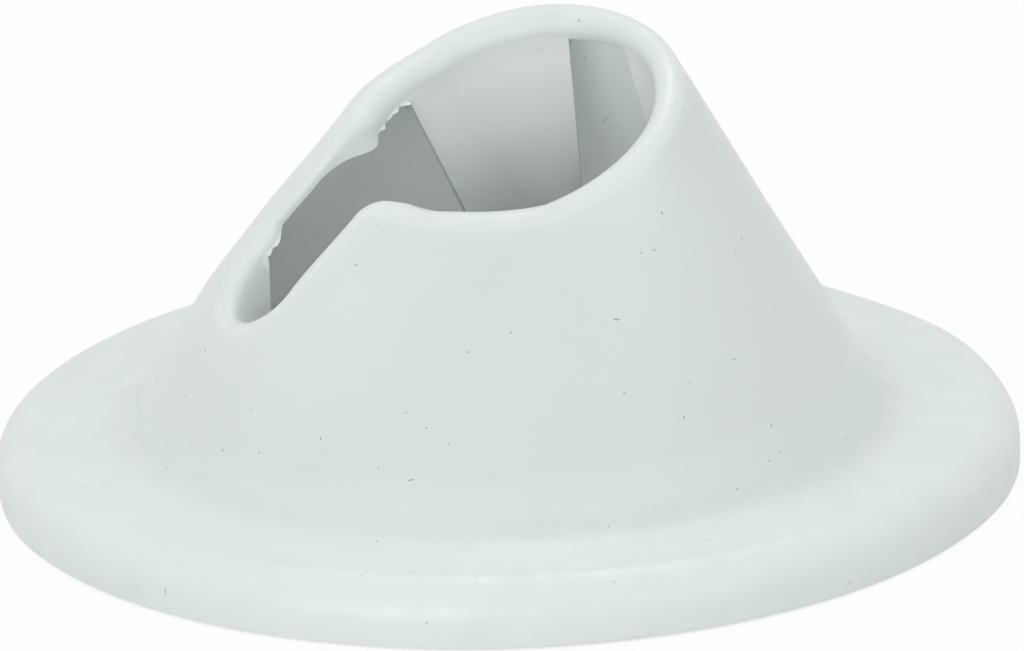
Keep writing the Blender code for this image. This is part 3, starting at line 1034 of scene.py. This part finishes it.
        travel = np.concatenate([[0.0], np.cumsum(np.hypot(np.diff(across), np.diff(below)))])
        full = math.pi * self.rim_radius
        local_radius = self.rim_radius + (self.crease_radius - self.rim_radius) * below / slope
        turn = across / local_radius
        turn[-1] = math.pi
        fade = smooth_step((full - across) / (full - half - shoulder))
        sweep = fade * (self.slot_shift + self.slot_sweep * (end_centre - below)) / local_radius
        plain_turn = self.mirrored(turn, -1.0)
        return MouthEdge(
            turn=plain_turn + self.mirrored(sweep, 1.0),
            plain_turn=plain_turn,
            rise=self.mirrored(1.0 - below / slope, 1.0),
            foot_turn=self.mirrored(math.pi * travel / travel[-1], -1.0),
            across=self.mirrored(to_across, -1.0),
            down=self.mirrored(to_down, 1.0),
            mouth_share=self.mirrored(smooth_step((across - half) / (2.0 * shoulder)), 1.0),
        )

    def panels(self, edge: MouthEdge) -> tuple[Array, Array]:
        """Work out what hangs from the mouth's lip.

        Two side panels and a rear leg hang deep, with cut windows between them.  The lean of a panel
        goes evenly from its first edge's to its second edge's, so that the panel narrows downwards.

        Args:
            edge: Columns of the mouth and slot.

        Returns:
            How far the throat hangs at each column, and how much it leans sideways there.
        """
        angle = np.abs(edge.angle(self.slot_turn))
        panel = (angle > self.panel_start) & (angle < self.panel_end)
        leg = angle > self.window_end
        depth = np.where(panel | leg, self.panel_depth, self.lip_return)
        lean = np.interp(angle, (self.panel_start, self.panel_end), self.panel_taper)
        return depth, np.where(panel, lean, 0.0)

    def flange_rows(self, foot: Array) -> Array:
        """Draw the flange: up its side, over its round edge and across the brim.

        Args:
            foot: Points of the crease, one a column.

        Returns:
            Rows of points that stop short of the crease by its fillet.
        """
        centred = unit(foot - foot * UPRIGHT)
        arc = np.linspace(0.0, QUARTER_TURN, self.roll_steps)[:, None, None]
        roll_start = self.flange_top - self.edge_radius
        band = np.linspace(self.flange_bottom, roll_start, self.band_steps, endpoint=False)[:, None, None]
        side = self.flange_radius * centred + band * UPRIGHT
        roll_radius = self.flange_radius - self.edge_radius * (1.0 - np.cos(arc))
        roll_height = self.flange_top - self.edge_radius * (1.0 - np.sin(arc))
        roll = roll_radius * centred + roll_height * UPRIGHT
        inner = roll[-1]
        brim_end = foot + self.crease_fillet * unit(inner - foot)
        share = np.linspace(0.0, 1.0, self.brim_steps + 2)[1:-1, None, None]
        return np.concatenate([side, roll, inner + (brim_end - inner) * share])

    def sheet(self) -> Array:
        """Draw the hood's outer sheet, from the flange to inside the throat.

        The fillet at the crease is a quadratic curve.  The wall's rows go evenly up the ruled wall,
        from even columns round the crease to the columns of the edge.

        Returns:
            Rows of points.
        """
        edge = self.edge()
        foot = self.crease(edge.foot_turn)
        flange = self.flange_rows(foot)
        brim_end = foot + self.crease_fillet * unit(flange[-1] - foot)
        climb = np.linalg.norm(self.wall_point(edge.turn, edge.rise) - foot, axis=-1)
        first = self.crease_fillet / climb
        lean = edge.turn - edge.foot_turn
        wall_start = self.wall_point(edge.foot_turn + lean * first, edge.rise * first)

        bend = np.linspace(0.0, 1.0, self.fillet_steps)[:, None, None]
        fillet = (1.0 - bend) ** 2 * brim_end + 2.0 * bend * (1.0 - bend) * foot + bend**2 * wall_start
        climbed = np.linspace(0.0, 1.0, self.wall_steps + 1)[1:, None]
        share = first + (1.0 - first) * climbed
        wall = self.wall_point(edge.foot_turn + lean * share, edge.rise * share)
        return np.concatenate([flange, fillet, wall, self.lip_rows(edge, wall[-1])])

    def lip_rows(self, edge: MouthEdge, start: Array) -> Array:
        """Draw the rolled lip and what hangs from it.

        The lip swings at its radius from the wall's outward direction to the opening's direction.  The
        skirt then runs on along the wall's inward direction.

        Args:
            edge: Columns of the mouth and slot.
            start: Row where the wall ends.

        Returns:
            Rows of points.
        """
        around, down, outward = self.wall_axes(edge.turn, edge.rise)
        share = edge.mouth_share[:, None]
        into_slot = edge.across[:, None] * around + edge.down[:, None] * down
        inward = unit(into_slot - (self.spoke(edge.turn) + into_slot) * share)
        cosine = np.sum(outward * inward, axis=-1, keepdims=True)
        swing = np.arccos(np.clip(cosine, -1.0, 1.0))
        radius = self.lip_radii(edge)[:, None]
        part = np.linspace(0.0, 1.0, self.lip_steps + 1)[1:, None, None]
        arm = np.sin(swing * (1.0 - part)) * outward + np.sin(swing * part) * inward
        lip = start - radius * outward + radius * arm / np.sin(swing)

        lip_end = lip[-1]
        mouth_depth, lean = self.panels(edge)
        tangent = unit(np.roll(lip_end, -1, axis=0) - np.roll(lip_end, 1, axis=0))
        side = np.sign(edge.angle(self.slot_turn))
        hang = (lean * side)[:, None] * tangent - unit(outward - cosine * inward)
        depth = self.skirt_depth(edge, lip_end, hang, mouth_depth)[:, None]
        torn = self.flash(edge, lip_end)[:, None]
        part = np.linspace(0.0, 1.0, self.skirt_steps + 1)[1:, None, None]
        return np.concatenate([lip, lip_end + part * (depth * hang + torn * inward)])

    def lip_radii(self, edge: MouthEdge) -> Array:
        """Work out the lip's radius: finer at the mouth's rear and on the slot's far side.

        Args:
            edge: Columns of the mouth and slot.

        Returns:
            One radius a column.
        """
        past_start = np.abs(edge.angle(self.slot_turn)) - self.rear_lip_start
        to_rear = smooth_step(past_start / self.rear_lip_blend)
        mouth_lip = self.lip_radius + (self.rear_lip_radius - self.lip_radius) * to_rear
        up_slot = smooth_step((edge.rise - self.far_lip_start) / self.far_lip_blend)
        to_far = up_slot * smooth_step(edge.across)
        slot_lip = self.slot_lip_radius + (self.far_lip_radius - self.slot_lip_radius) * to_far
        return slot_lip + (mouth_lip - slot_lip) * edge.mouth_share

    def skirt_depth(self, edge: MouthEdge, lip_end: Array, hang: Array, mouth_depth: Array) -> Array:
        """Work out how deep the skirt hangs: the mouth's own depth, and a wall at the slot's end.

        The slot's end wall reaches to an upright plane across X.  A hump hangs from the shoulder on
        the far side.

        Args:
            edge: Columns of the mouth and slot.
            lip_end: Points where the lip ends.
            hang: Directions in which the skirt hangs.
            mouth_depth: Depths of the mouth's panels.

        Returns:
            One depth a column.
        """
        to_plane = (self.end_wall_plane - lip_end[:, 0]) / np.maximum(hang[:, 0], self.least_slope)
        slot_depth = np.clip(to_plane, self.slot_side_depth, self.end_wall_depth)
        hump = smooth_step(1.0 - np.abs(edge.turn - self.hump_turn) / self.hump_reach)
        return slot_depth + (mouth_depth - slot_depth) * edge.mouth_share + self.hump_depth * hump

    def flash(self, edge: MouthEdge, lip_end: Array) -> Array:
        """Work out the height of the torn flash that trimming left on the opening's far edge.

        It is a sum of smooth bumps: those beside the slot's end wall are placed by X, those above the
        notch by the turn in degrees.

        Args:
            edge: Columns of the mouth and slot.
            lip_end: Points where the lip ends.

        Returns:
            One height a column.
        """
        far_slot = (edge.mouth_share < 0.5) & (edge.turn < 0.0)
        beside_slot = far_slot * bumps(lip_end[:, 0], self.slot_flash)
        return beside_slot + bumps(np.degrees(edge.turn), self.notch_flash)

    def waviness(self, points: Array) -> Array:
        """Add up plane waves of several lengths and directions for a slow wave of the surface.

        Args:
            points: Points of the sheet.

        Returns:
            Heights, with one axis fewer than the points.
        """
        draw = np.random.default_rng(self.wave_seed)
        direction = unit(draw.normal(size=(self.wave_count, 3)))
        length = np.linspace(*self.wave_lengths, self.wave_count)
        phase = draw.uniform(0.0, FULL_TURN, self.wave_count)
        waves = np.sin(points @ (direction / length[:, None]).T * FULL_TURN + phase)
        return self.wave_height * (waves * length / length.mean()).sum(axis=-1)

    def thickened(self, sheet: Array) -> Array:
        """Close the sheet: from edge to edge, then its inner face back again.

        The inner face is the sheet moved by the wall's thickness against its normal, which is the cross
        product of the differences along columns and rows.  What hangs from the lip keeps the normal of
        the lip's end and is thinner.

        Args:
            sheet: Rows of the outer sheet.

        Returns:
            Rows of the closed grid, twice as many.
        """
        bent = sheet[: -self.skirt_steps]
        along = np.gradient(bent, axis=0)
        around = np.roll(bent, -1, axis=1) - np.roll(bent, 1, axis=1)
        normal = unit(np.cross(around, along))
        normal = normal * np.sign(normal[self.roll_steps, :, 2].mean())
        normal = np.concatenate([normal, np.repeat(normal[-1:], self.skirt_steps, axis=0)])
        thickness = np.full((len(sheet), 1, 1), self.wall)
        thickness[-self.skirt_steps:] = self.skirt_wall
        wavy = sheet + self.waviness(sheet)[..., None] * normal
        return np.concatenate([wavy, (wavy - thickness * normal)[::-1]])

    def zones(self, rows: int) -> Array:
        """Work out the attribute zone for the closed grid.

        Light soaks into the wall's rows, but not into flange, lip and panels.  The panels, whose Y marks
        where their whiter painted light goes, begin at the end of the lip, in the columns where the throat
        hangs deep.

        Args:
            rows: Number of rows of the outer sheet.

        Returns:
            Three values for each row and column, for twice as many rows.
        """
        row = np.arange(rows)[:, None]
        lip_end = rows - self.skirt_steps - 1
        wall_end = lip_end - self.lip_steps
        wall_start = wall_end - self.wall_steps
        fade = self.soak_steps
        knots = (wall_start - self.fillet_steps, wall_start + fade, wall_end, wall_end + fade)
        deep = self.panels(self.edge())[0] > self.lip_return
        # Y of the zone: where the panels get their painted light, a whiter colour
        panel = np.interp(row, (lip_end - 1, lip_end + 1), (0.0, 1.0)) * deep
        soak = np.interp(row, knots, (0.0, 1.0, 1.0, 0.0)) + 0.0 * panel
        outer = np.stack([soak, panel, 0.0 * panel], axis=-1)
        return np.concatenate([outer, outer[::-1]])

    def build(self) -> list[bpy.types.Object]:
        """Build the hood with the screw bosses under its flange.

        Returns:
            The one moulding.
        """
        surface = Surface()
        sheet = self.sheet()
        surface.grid(self.thickened(sheet), along=True, zone=self.zones(len(sheet)))
        top = self.flange_top - self.wall / 2.0
        boss = np.array([
            [0.0, self.boss_bottom],
            [self.boss_radius - self.boss_bevel, self.boss_bottom],
            [self.boss_radius, self.boss_bottom + self.boss_bevel],
            [self.boss_radius, top],
            [0.0, top],
        ])
        for place in circle_points(self.boss_count, self.boss_circle):
            surface.grid(revolved(boss, self.boss_steps, place))
        return [fit(surface.build("hood_moulding"), HOOD_WHITE, Body.COWL, "cowl_shell")]


@dataclass
class TurningCollar:
    """The annular plate under the flange that turns on the deck ring's neck, and its screws."""

    inner: float = 0.0559
    outer: float = 0.0938
    bottom: float = 0.0052
    top: float = 0.0077
    edge: float = 0.0006
    screw_circle: float = 0.0888
    screw_count: int = 6
    screw_radius: float = 0.0015
    screw_head_radius: float = 0.0030
    screw_head_height: float = 0.0013
    screw_tip: float = 0.0104
    clearance: float = 0.0003
    steps: int = 192

    def screw(self, number: int, place: Spot) -> bpy.types.Object:
        """Build one screw, driven upwards.

        Args:
            number: Its number, from 1.
            place: Its place on the plate.

        Returns:
            The screw.
        """
        return Screw(
            name=f"collar_fixing_{number}",
            node=f"collar_screw_{number}",
            body=Body.COWL,
            place=place,
            seat=self.bottom - self.clearance,
            tip=self.screw_tip,
            radius=self.screw_radius,
            head_radius=self.screw_head_radius,
            head_height=self.screw_head_height,
        ).build()

    def build(self) -> list[bpy.types.Object]:
        """Turn the plate, drill it and put in the screws.

        Returns:
            The plate and its screws.
        """
        section = box_section(self.inner, self.outer, self.bottom, self.top)
        plate = turned("collar_plate", section, self.edge, self.steps)
        places = circle_points(self.screw_count, self.screw_circle)
        hole = self.screw_radius + self.clearance
        drill(plate, places, hole_profile(hole, self.bottom, self.top, self.clearance))
        screws = [self.screw(number, place) for number, place in enumerate(places, start=1)]
        return [fit(plate, COLLAR_GREY, Body.COWL, "turning_collar"), *screws]


@dataclass
class DeckRing:
    """The fixed ring on the deck: plate, neck with its groove, ledge for the grille, and the seal."""

    airway: float = 0.044
    bore: float = 0.050
    neck: float = 0.0554
    groove: float = 0.0540
    plate: float = 0.066
    bottom: float = 0.0018
    plate_top: float = 0.0036
    ledge_top: float = 0.0048
    groove_bottom: float = 0.0077
    groove_top: float = 0.0095
    neck_top: float = 0.0113
    seal_top: float = 0.0015
    edge: float = 0.0005
    hole_circle: float = 0.0607
    hole_radius: float = 0.0021
    hole_count: int = 6
    flare: float = 0.0003
    steps: int = 160

    def build(self) -> list[bpy.types.Object]:
        """Turn the ring and its seal and drill both for the deck screws.

        Returns:
            The ring and the seal.
        """
        corners = np.array([
            [self.neck, self.neck_top],
            [self.neck, self.groove_top],
            [self.groove, self.groove_top],
            [self.groove, self.groove_bottom],
            [self.neck, self.groove_bottom],
            [self.neck, self.plate_top],
            [self.plate, self.plate_top],
            [self.plate, self.bottom],
            [self.airway, self.bottom],
            [self.airway, self.ledge_top],
            [self.bore, self.ledge_top],
            [self.bore, self.neck_top],
        ])
        places = circle_points(self.hole_count, self.hole_circle)
        ring = turned("base_ring", corners, self.edge, self.steps)
        drill(ring, places, hole_profile(self.hole_radius, self.bottom, self.plate_top, self.flare))
        flat = box_section(self.airway, self.plate, 0.0, self.seal_top)
        seal = turned("deck_seal", flat, self.edge, self.steps)
        drill(seal, places, hole_profile(self.hole_radius, 0.0, self.seal_top, self.flare))
        return [
            fit(ring, COLLAR_GREY, Body.BASE, "deck_ring"),
            fit(seal, SEAL_BLACK, Body.BASE, "deck_gasket"),
        ]


@dataclass
class Bearing:
    """What the collar turns on: a glide washer under it and a split spring ring above it."""

    glide_inner: float = 0.0559
    glide_outer: float = 0.065
    glide_bottom: float = 0.0039
    glide_top: float = 0.0049
    spring_inner: float = 0.0543
    spring_outer: float = 0.0585
    spring_bottom: float = 0.0080
    spring_top: float = 0.0092
    spring_split: float = 0.006
    edge: float = 0.0003
    steps: int = 160

    def spring(self) -> bpy.types.Object:
        """Sweep the spring's section round Z from one side of its split to the other.

        Returns:
            The spring ring.
        """
        corners = box_section(self.spring_inner, self.spring_outer, self.spring_bottom, self.spring_top)
        section = rounded(corners, self.edge)
        gap = self.spring_split / (self.spring_inner + self.spring_outer)
        angle = np.linspace(gap, FULL_TURN - gap, self.steps)[:, None]
        radius, height = section[None, :, 0], section[None, :, 1]
        swept = np.stack([radius * np.cos(angle), radius * np.sin(angle), height + 0.0 * angle], axis=-1)
        surface = Surface()
        surface.rod(swept)
        return surface.build("spring_clip")

    def build(self) -> list[bpy.types.Object]:
        """Turn the washer and add the spring ring.

        Returns:
            The washer and the spring ring.
        """
        section = box_section(self.glide_inner, self.glide_outer, self.glide_bottom, self.glide_top)
        glide = turned("glide_washer", section, self.edge, self.steps)
        return [
            fit(glide, GLIDE_ACETAL, Body.BASE, "glide_ring"),
            fit(self.spring(), SCREW_STEEL, Body.BASE, "snap_ring"),
        ]


@dataclass
class InsectScreen:
    """The barred grille across the airway, the ring that clamps it down and that ring's screws."""

    airway: float = 0.044
    outer: float = 0.0497
    grille_bottom: float = 0.0051
    grille_top: float = 0.0063
    bar: float = 0.0022
    bar_overlap: float = 0.0012
    rows: int = 11
    clamp_bottom: float = 0.0066
    clamp_top: float = 0.0086
    edge: float = 0.0004
    screw_circle: float = 0.047
    screw_count: int = 4
    screw_radius: float = 0.0009
    screw_head_radius: float = 0.0017
    screw_head_height: float = 0.0010
    screw_tip: float = 0.0028
    clearance: float = 0.0003
    steps: int = 160

    def bar_sweep(self, middle: float, half: float, turned_bar: bool) -> Array:
        """Carry a rounded bar section along X, or along Y when turned.

        Args:
            middle: Sideways place of the bar.
            half: Half its length.
            turned_bar: Whether it runs along Y.

        Returns:
            Points with a row at each end.
        """
        side = self.bar / 2.0
        section = rounded(box_section(-side, side, self.grille_bottom, self.grille_top), self.edge)
        run = np.array([-half, half])[:, None] + 0.0 * section[None, :, 0]
        sideways = middle + section[None, :, 0] + 0.0 * run
        height = section[None, :, 1] + 0.0 * run
        return np.stack([sideways, run, height] if turned_bar else [run, sideways, height], axis=-1)

    def add_bars(self, grille: bpy.types.Object) -> None:
        """Join the bars to the rim: one between each two rows of slots, and one across them.

        Args:
            grille: The rim, which takes the bars into its mesh.
        """
        pitch = 2.0 * self.airway / (self.rows + 1)
        surface = Surface()
        for index in range(self.rows + 1):
            middle = (index + 0.5) * pitch - self.airway
            half = math.sqrt(self.airway**2 - middle**2) + self.bar_overlap
            surface.rod(self.bar_sweep(middle, half, turned_bar=False))
        surface.rod(self.bar_sweep(0.0, self.airway + self.bar_overlap, turned_bar=True))
        bars = surface.build("grille_bars_cross")
        work = bmesh.new()
        work.from_mesh(grille.data)
        work.from_mesh(bars.data)
        work.to_mesh(grille.data)
        work.free()
        shade(grille.data)
        bpy.data.objects.remove(bars)

    def screw(self, number: int, place: Spot) -> bpy.types.Object:
        """Build one screw, driven downwards.

        Args:
            number: Its number, from 1.
            place: Its place on the clamp ring.

        Returns:
            The screw.
        """
        return Screw(
            name=f"clamp_fixing_{number}",
            node=f"retainer_screw_{number}",
            body=Body.BASE,
            place=place,
            seat=self.clamp_top + self.clearance,
            tip=self.screw_tip,
            radius=self.screw_radius,
            head_radius=self.screw_head_radius,
            head_height=self.screw_head_height,
        ).build()

    def build(self) -> list[bpy.types.Object]:
        """Build the grille, its clamp ring and the screws.

        Returns:
            The grille, the clamp ring and its screws.
        """
        places = circle_points(self.screw_count, self.screw_circle)
        hole = self.screw_radius + self.clearance
        rim = box_section(self.airway, self.outer, self.grille_bottom, self.grille_top)
        grille = turned("grille_bars", rim, self.edge, self.steps)
        drill(grille, places, hole_profile(hole, self.grille_bottom, self.grille_top, self.clearance))
        self.add_bars(grille)
        flat = box_section(self.airway, self.outer, self.clamp_bottom, self.clamp_top)
        clamp = turned("grille_clamp", flat, self.edge, self.steps)
        drill(clamp, places, hole_profile(hole, self.clamp_bottom, self.clamp_top, self.clearance))
        screws = [self.screw(number, place) for number, place in enumerate(places, start=1)]
        return [
            fit(grille, GRILLE_WHITE, Body.BASE, "insect_grille"),
            fit(clamp, COLLAR_GREY, Body.BASE, "screen_retainer"),
            *screws,
        ]


@dataclass(frozen=True)
class Softbox:
    """A square soft light that looks at the vent."""

    name: str
    place: Place
    size: float
    power: float


@dataclass
class Studio:
    """A pale floor, soft light and the camera at the photograph's place."""

    target: Place = (0.0015, 0.0, 0.0261)
    distance: float = 0.700
    elevation: float = math.radians(17.9)
    roll: float = math.radians(-1.96)
    focal_pixels: float = 3582.0
    sensor: float = 36.0
    floor_half: float = 3.0
    floor_drop: float = 0.0001
    floor_colour: str = "#dededd"
    floor_white: float = 0.95
    hood_radius: float = 0.100
    shade_blend: float = 0.004
    world_strength: float = 0.75
    softboxes: tuple[Softbox, ...] = (
        Softbox("left_softbox", (-0.60, -1.35, 0.28), 0.9, 7.4),
        Softbox("right_softbox", (0.90, -1.10, 0.70), 0.7, 1.8),
        Softbox("top_softbox", (0.10, 0.50, 1.25), 0.5, 2.9),
    )

    def build(self) -> None:
        """Set the floor, the lights and the camera."""
        self.floor()
        self.world()
        for softbox in self.softboxes:
            self.lamp(softbox)
        self.camera()
        bpy.context.scene.view_settings.view_transform = "Standard"

    def seen(self, tree: bpy.types.NodeTree) -> bpy.types.NodeSocket:
        """Tell the rays that show the background from those that light the vent.

        Args:
            tree: Node tree that takes the nodes.

        Returns:
            Socket that is 1 for camera, glossy and transmission rays.
        """
        rays = add(tree, "ShaderNodeLightPath").outputs
        straight = {0: rays["Is Camera Ray"], 1: rays["Is Glossy Ray"]}
        mirrored = add(tree, "ShaderNodeMath", straight, operation="MAXIMUM").outputs[0]
        through = {0: mirrored, 1: rays["Is Transmission Ray"]}
        return add(tree, "ShaderNodeMath", through, operation="MAXIMUM").outputs[0]

    def floor(self) -> None:
        """Lay a wide floor that is nearly white to the camera and still takes the shadow.

        Under the hood the floor is plain paper, so that the inside stays dark.
        """
        half, drop = self.floor_half, -self.floor_drop
        near, far = [[-half, -half, drop], [half, -half, drop]], [[-half, half, drop], [half, half, drop]]
        surface = Surface()
        surface.grid(np.array([near, far]), around=False)
        floor = surface.build("studio_floor")
        material = bpy.data.materials.new("pale_studio_paper")
        material.use_nodes = True
        tree = material.node_tree
        tree.nodes.clear()
        place = add(tree, "ShaderNodeTexCoord").outputs["Object"]
        reach = add(tree, "ShaderNodeVectorMath", {0: place}, operation="LENGTH").outputs["Value"]
        clear_of_hood = add(
            tree,
            "ShaderNodeMapRange",
            {"Value": reach, "From Min": self.hood_radius - self.shade_blend, "From Max": self.hood_radius,
             "To Max": self.floor_white},
        )
        shown = {0: self.seen(tree), 1: clear_of_hood.outputs[0]}
        share = add(tree, "ShaderNodeMath", shown, operation="MULTIPLY")
        paper = add(tree, "ShaderNodeBsdfDiffuse", {"Color": linear(self.floor_colour)})
        white = add(tree, "ShaderNodeEmission", {"Color": WHITE, "Strength": 1.0})
        blend = {0: share.outputs[0], 1: paper.outputs[0], 2: white.outputs[0]}
        mix = add(tree, "ShaderNodeMixShader", blend)
        add(tree, "ShaderNodeOutputMaterial", {"Surface": mix.outputs[0]})
        floor.data.materials.append(material)

    def world(self) -> None:
        """Light the scene evenly from all round, and show white where the floor ends."""
        world = bpy.data.worlds.new("studio_light")
        bpy.context.scene.world = world
        world.use_nodes = True
        tree = world.node_tree
        tree.nodes.clear()
        soft = add(tree, "ShaderNodeBackground", {"Color": WHITE, "Strength": self.world_strength})
        white = add(tree, "ShaderNodeBackground", {"Color": WHITE, "Strength": 1.0})
        blend = {0: self.seen(tree), 1: soft.outputs[0], 2: white.outputs[0]}
        mix = add(tree, "ShaderNodeMixShader", blend)
        add(tree, "ShaderNodeOutputWorld", {"Surface": mix.outputs[0]})

    def lamp(self, softbox: Softbox) -> None:
        """Hang a softbox as an area light.

        Args:
            softbox: Its place, size and power.
        """
        light = bpy.data.lights.new(softbox.name, "AREA")
        light.size = softbox.size
        light.energy = softbox.power
        lamp = bpy.data.objects.new(softbox.name, light)
        lamp.matrix_world = self.looking(np.array(softbox.place), 0.0)
        bpy.context.scene.collection.objects.link(lamp)

    def looking(self, place: Array, roll: float) -> Matrix:
        """Turn something at a place so that it looks along its -Z at the target.

        Args:
            place: Where it stands.
            roll: Turn about the line of sight.

        Returns:
            World matrix.
        """
        forward = unit(np.array(self.target) - place)
        right = unit(np.cross(forward, UPRIGHT))
        up = np.cross(right, forward)
        tilted_right = math.cos(roll) * right + math.sin(roll) * up
        tilted_up = -math.sin(roll) * right + math.cos(roll) * up
        whole = np.eye(4)
        whole[:3] = np.stack([tilted_right, tilted_up, -forward, place], axis=1)
        return Matrix(whole.tolist())

    def camera(self) -> None:
        """Place the camera that sees the vent as the photograph does."""
        sight = np.array([0.0, math.cos(self.elevation), -math.sin(self.elevation)])
        lens = bpy.data.cameras.new("photo_camera")
        lens.sensor_fit = "HORIZONTAL"
        lens.sensor_width = self.sensor
        lens.lens = self.focal_pixels * self.sensor / PHOTO_WIDTH
        camera = bpy.data.objects.new("photo_camera", lens)
        camera.matrix_world = self.looking(np.array(self.target) - self.distance * sight, self.roll)
        bpy.context.scene.collection.objects.link(camera)
        bpy.context.scene.camera = camera


def main() -> None:
    """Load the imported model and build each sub-assembly round it."""
    logging.basicConfig(level=logging.INFO, format="%(name)s: %(message)s")
    for old in list(bpy.data.objects):
        bpy.data.objects.remove(old, do_unlink=True)
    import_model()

    for assembly in (Hood(), TurningCollar(), DeckRing(), Bearing(), InsectScreen()):
        for piece in assembly.build():
            LOG.info("%s: %d faces", piece.name, len(piece.data.polygons))
    Studio().build()


if __name__ == "__main__":
    main()
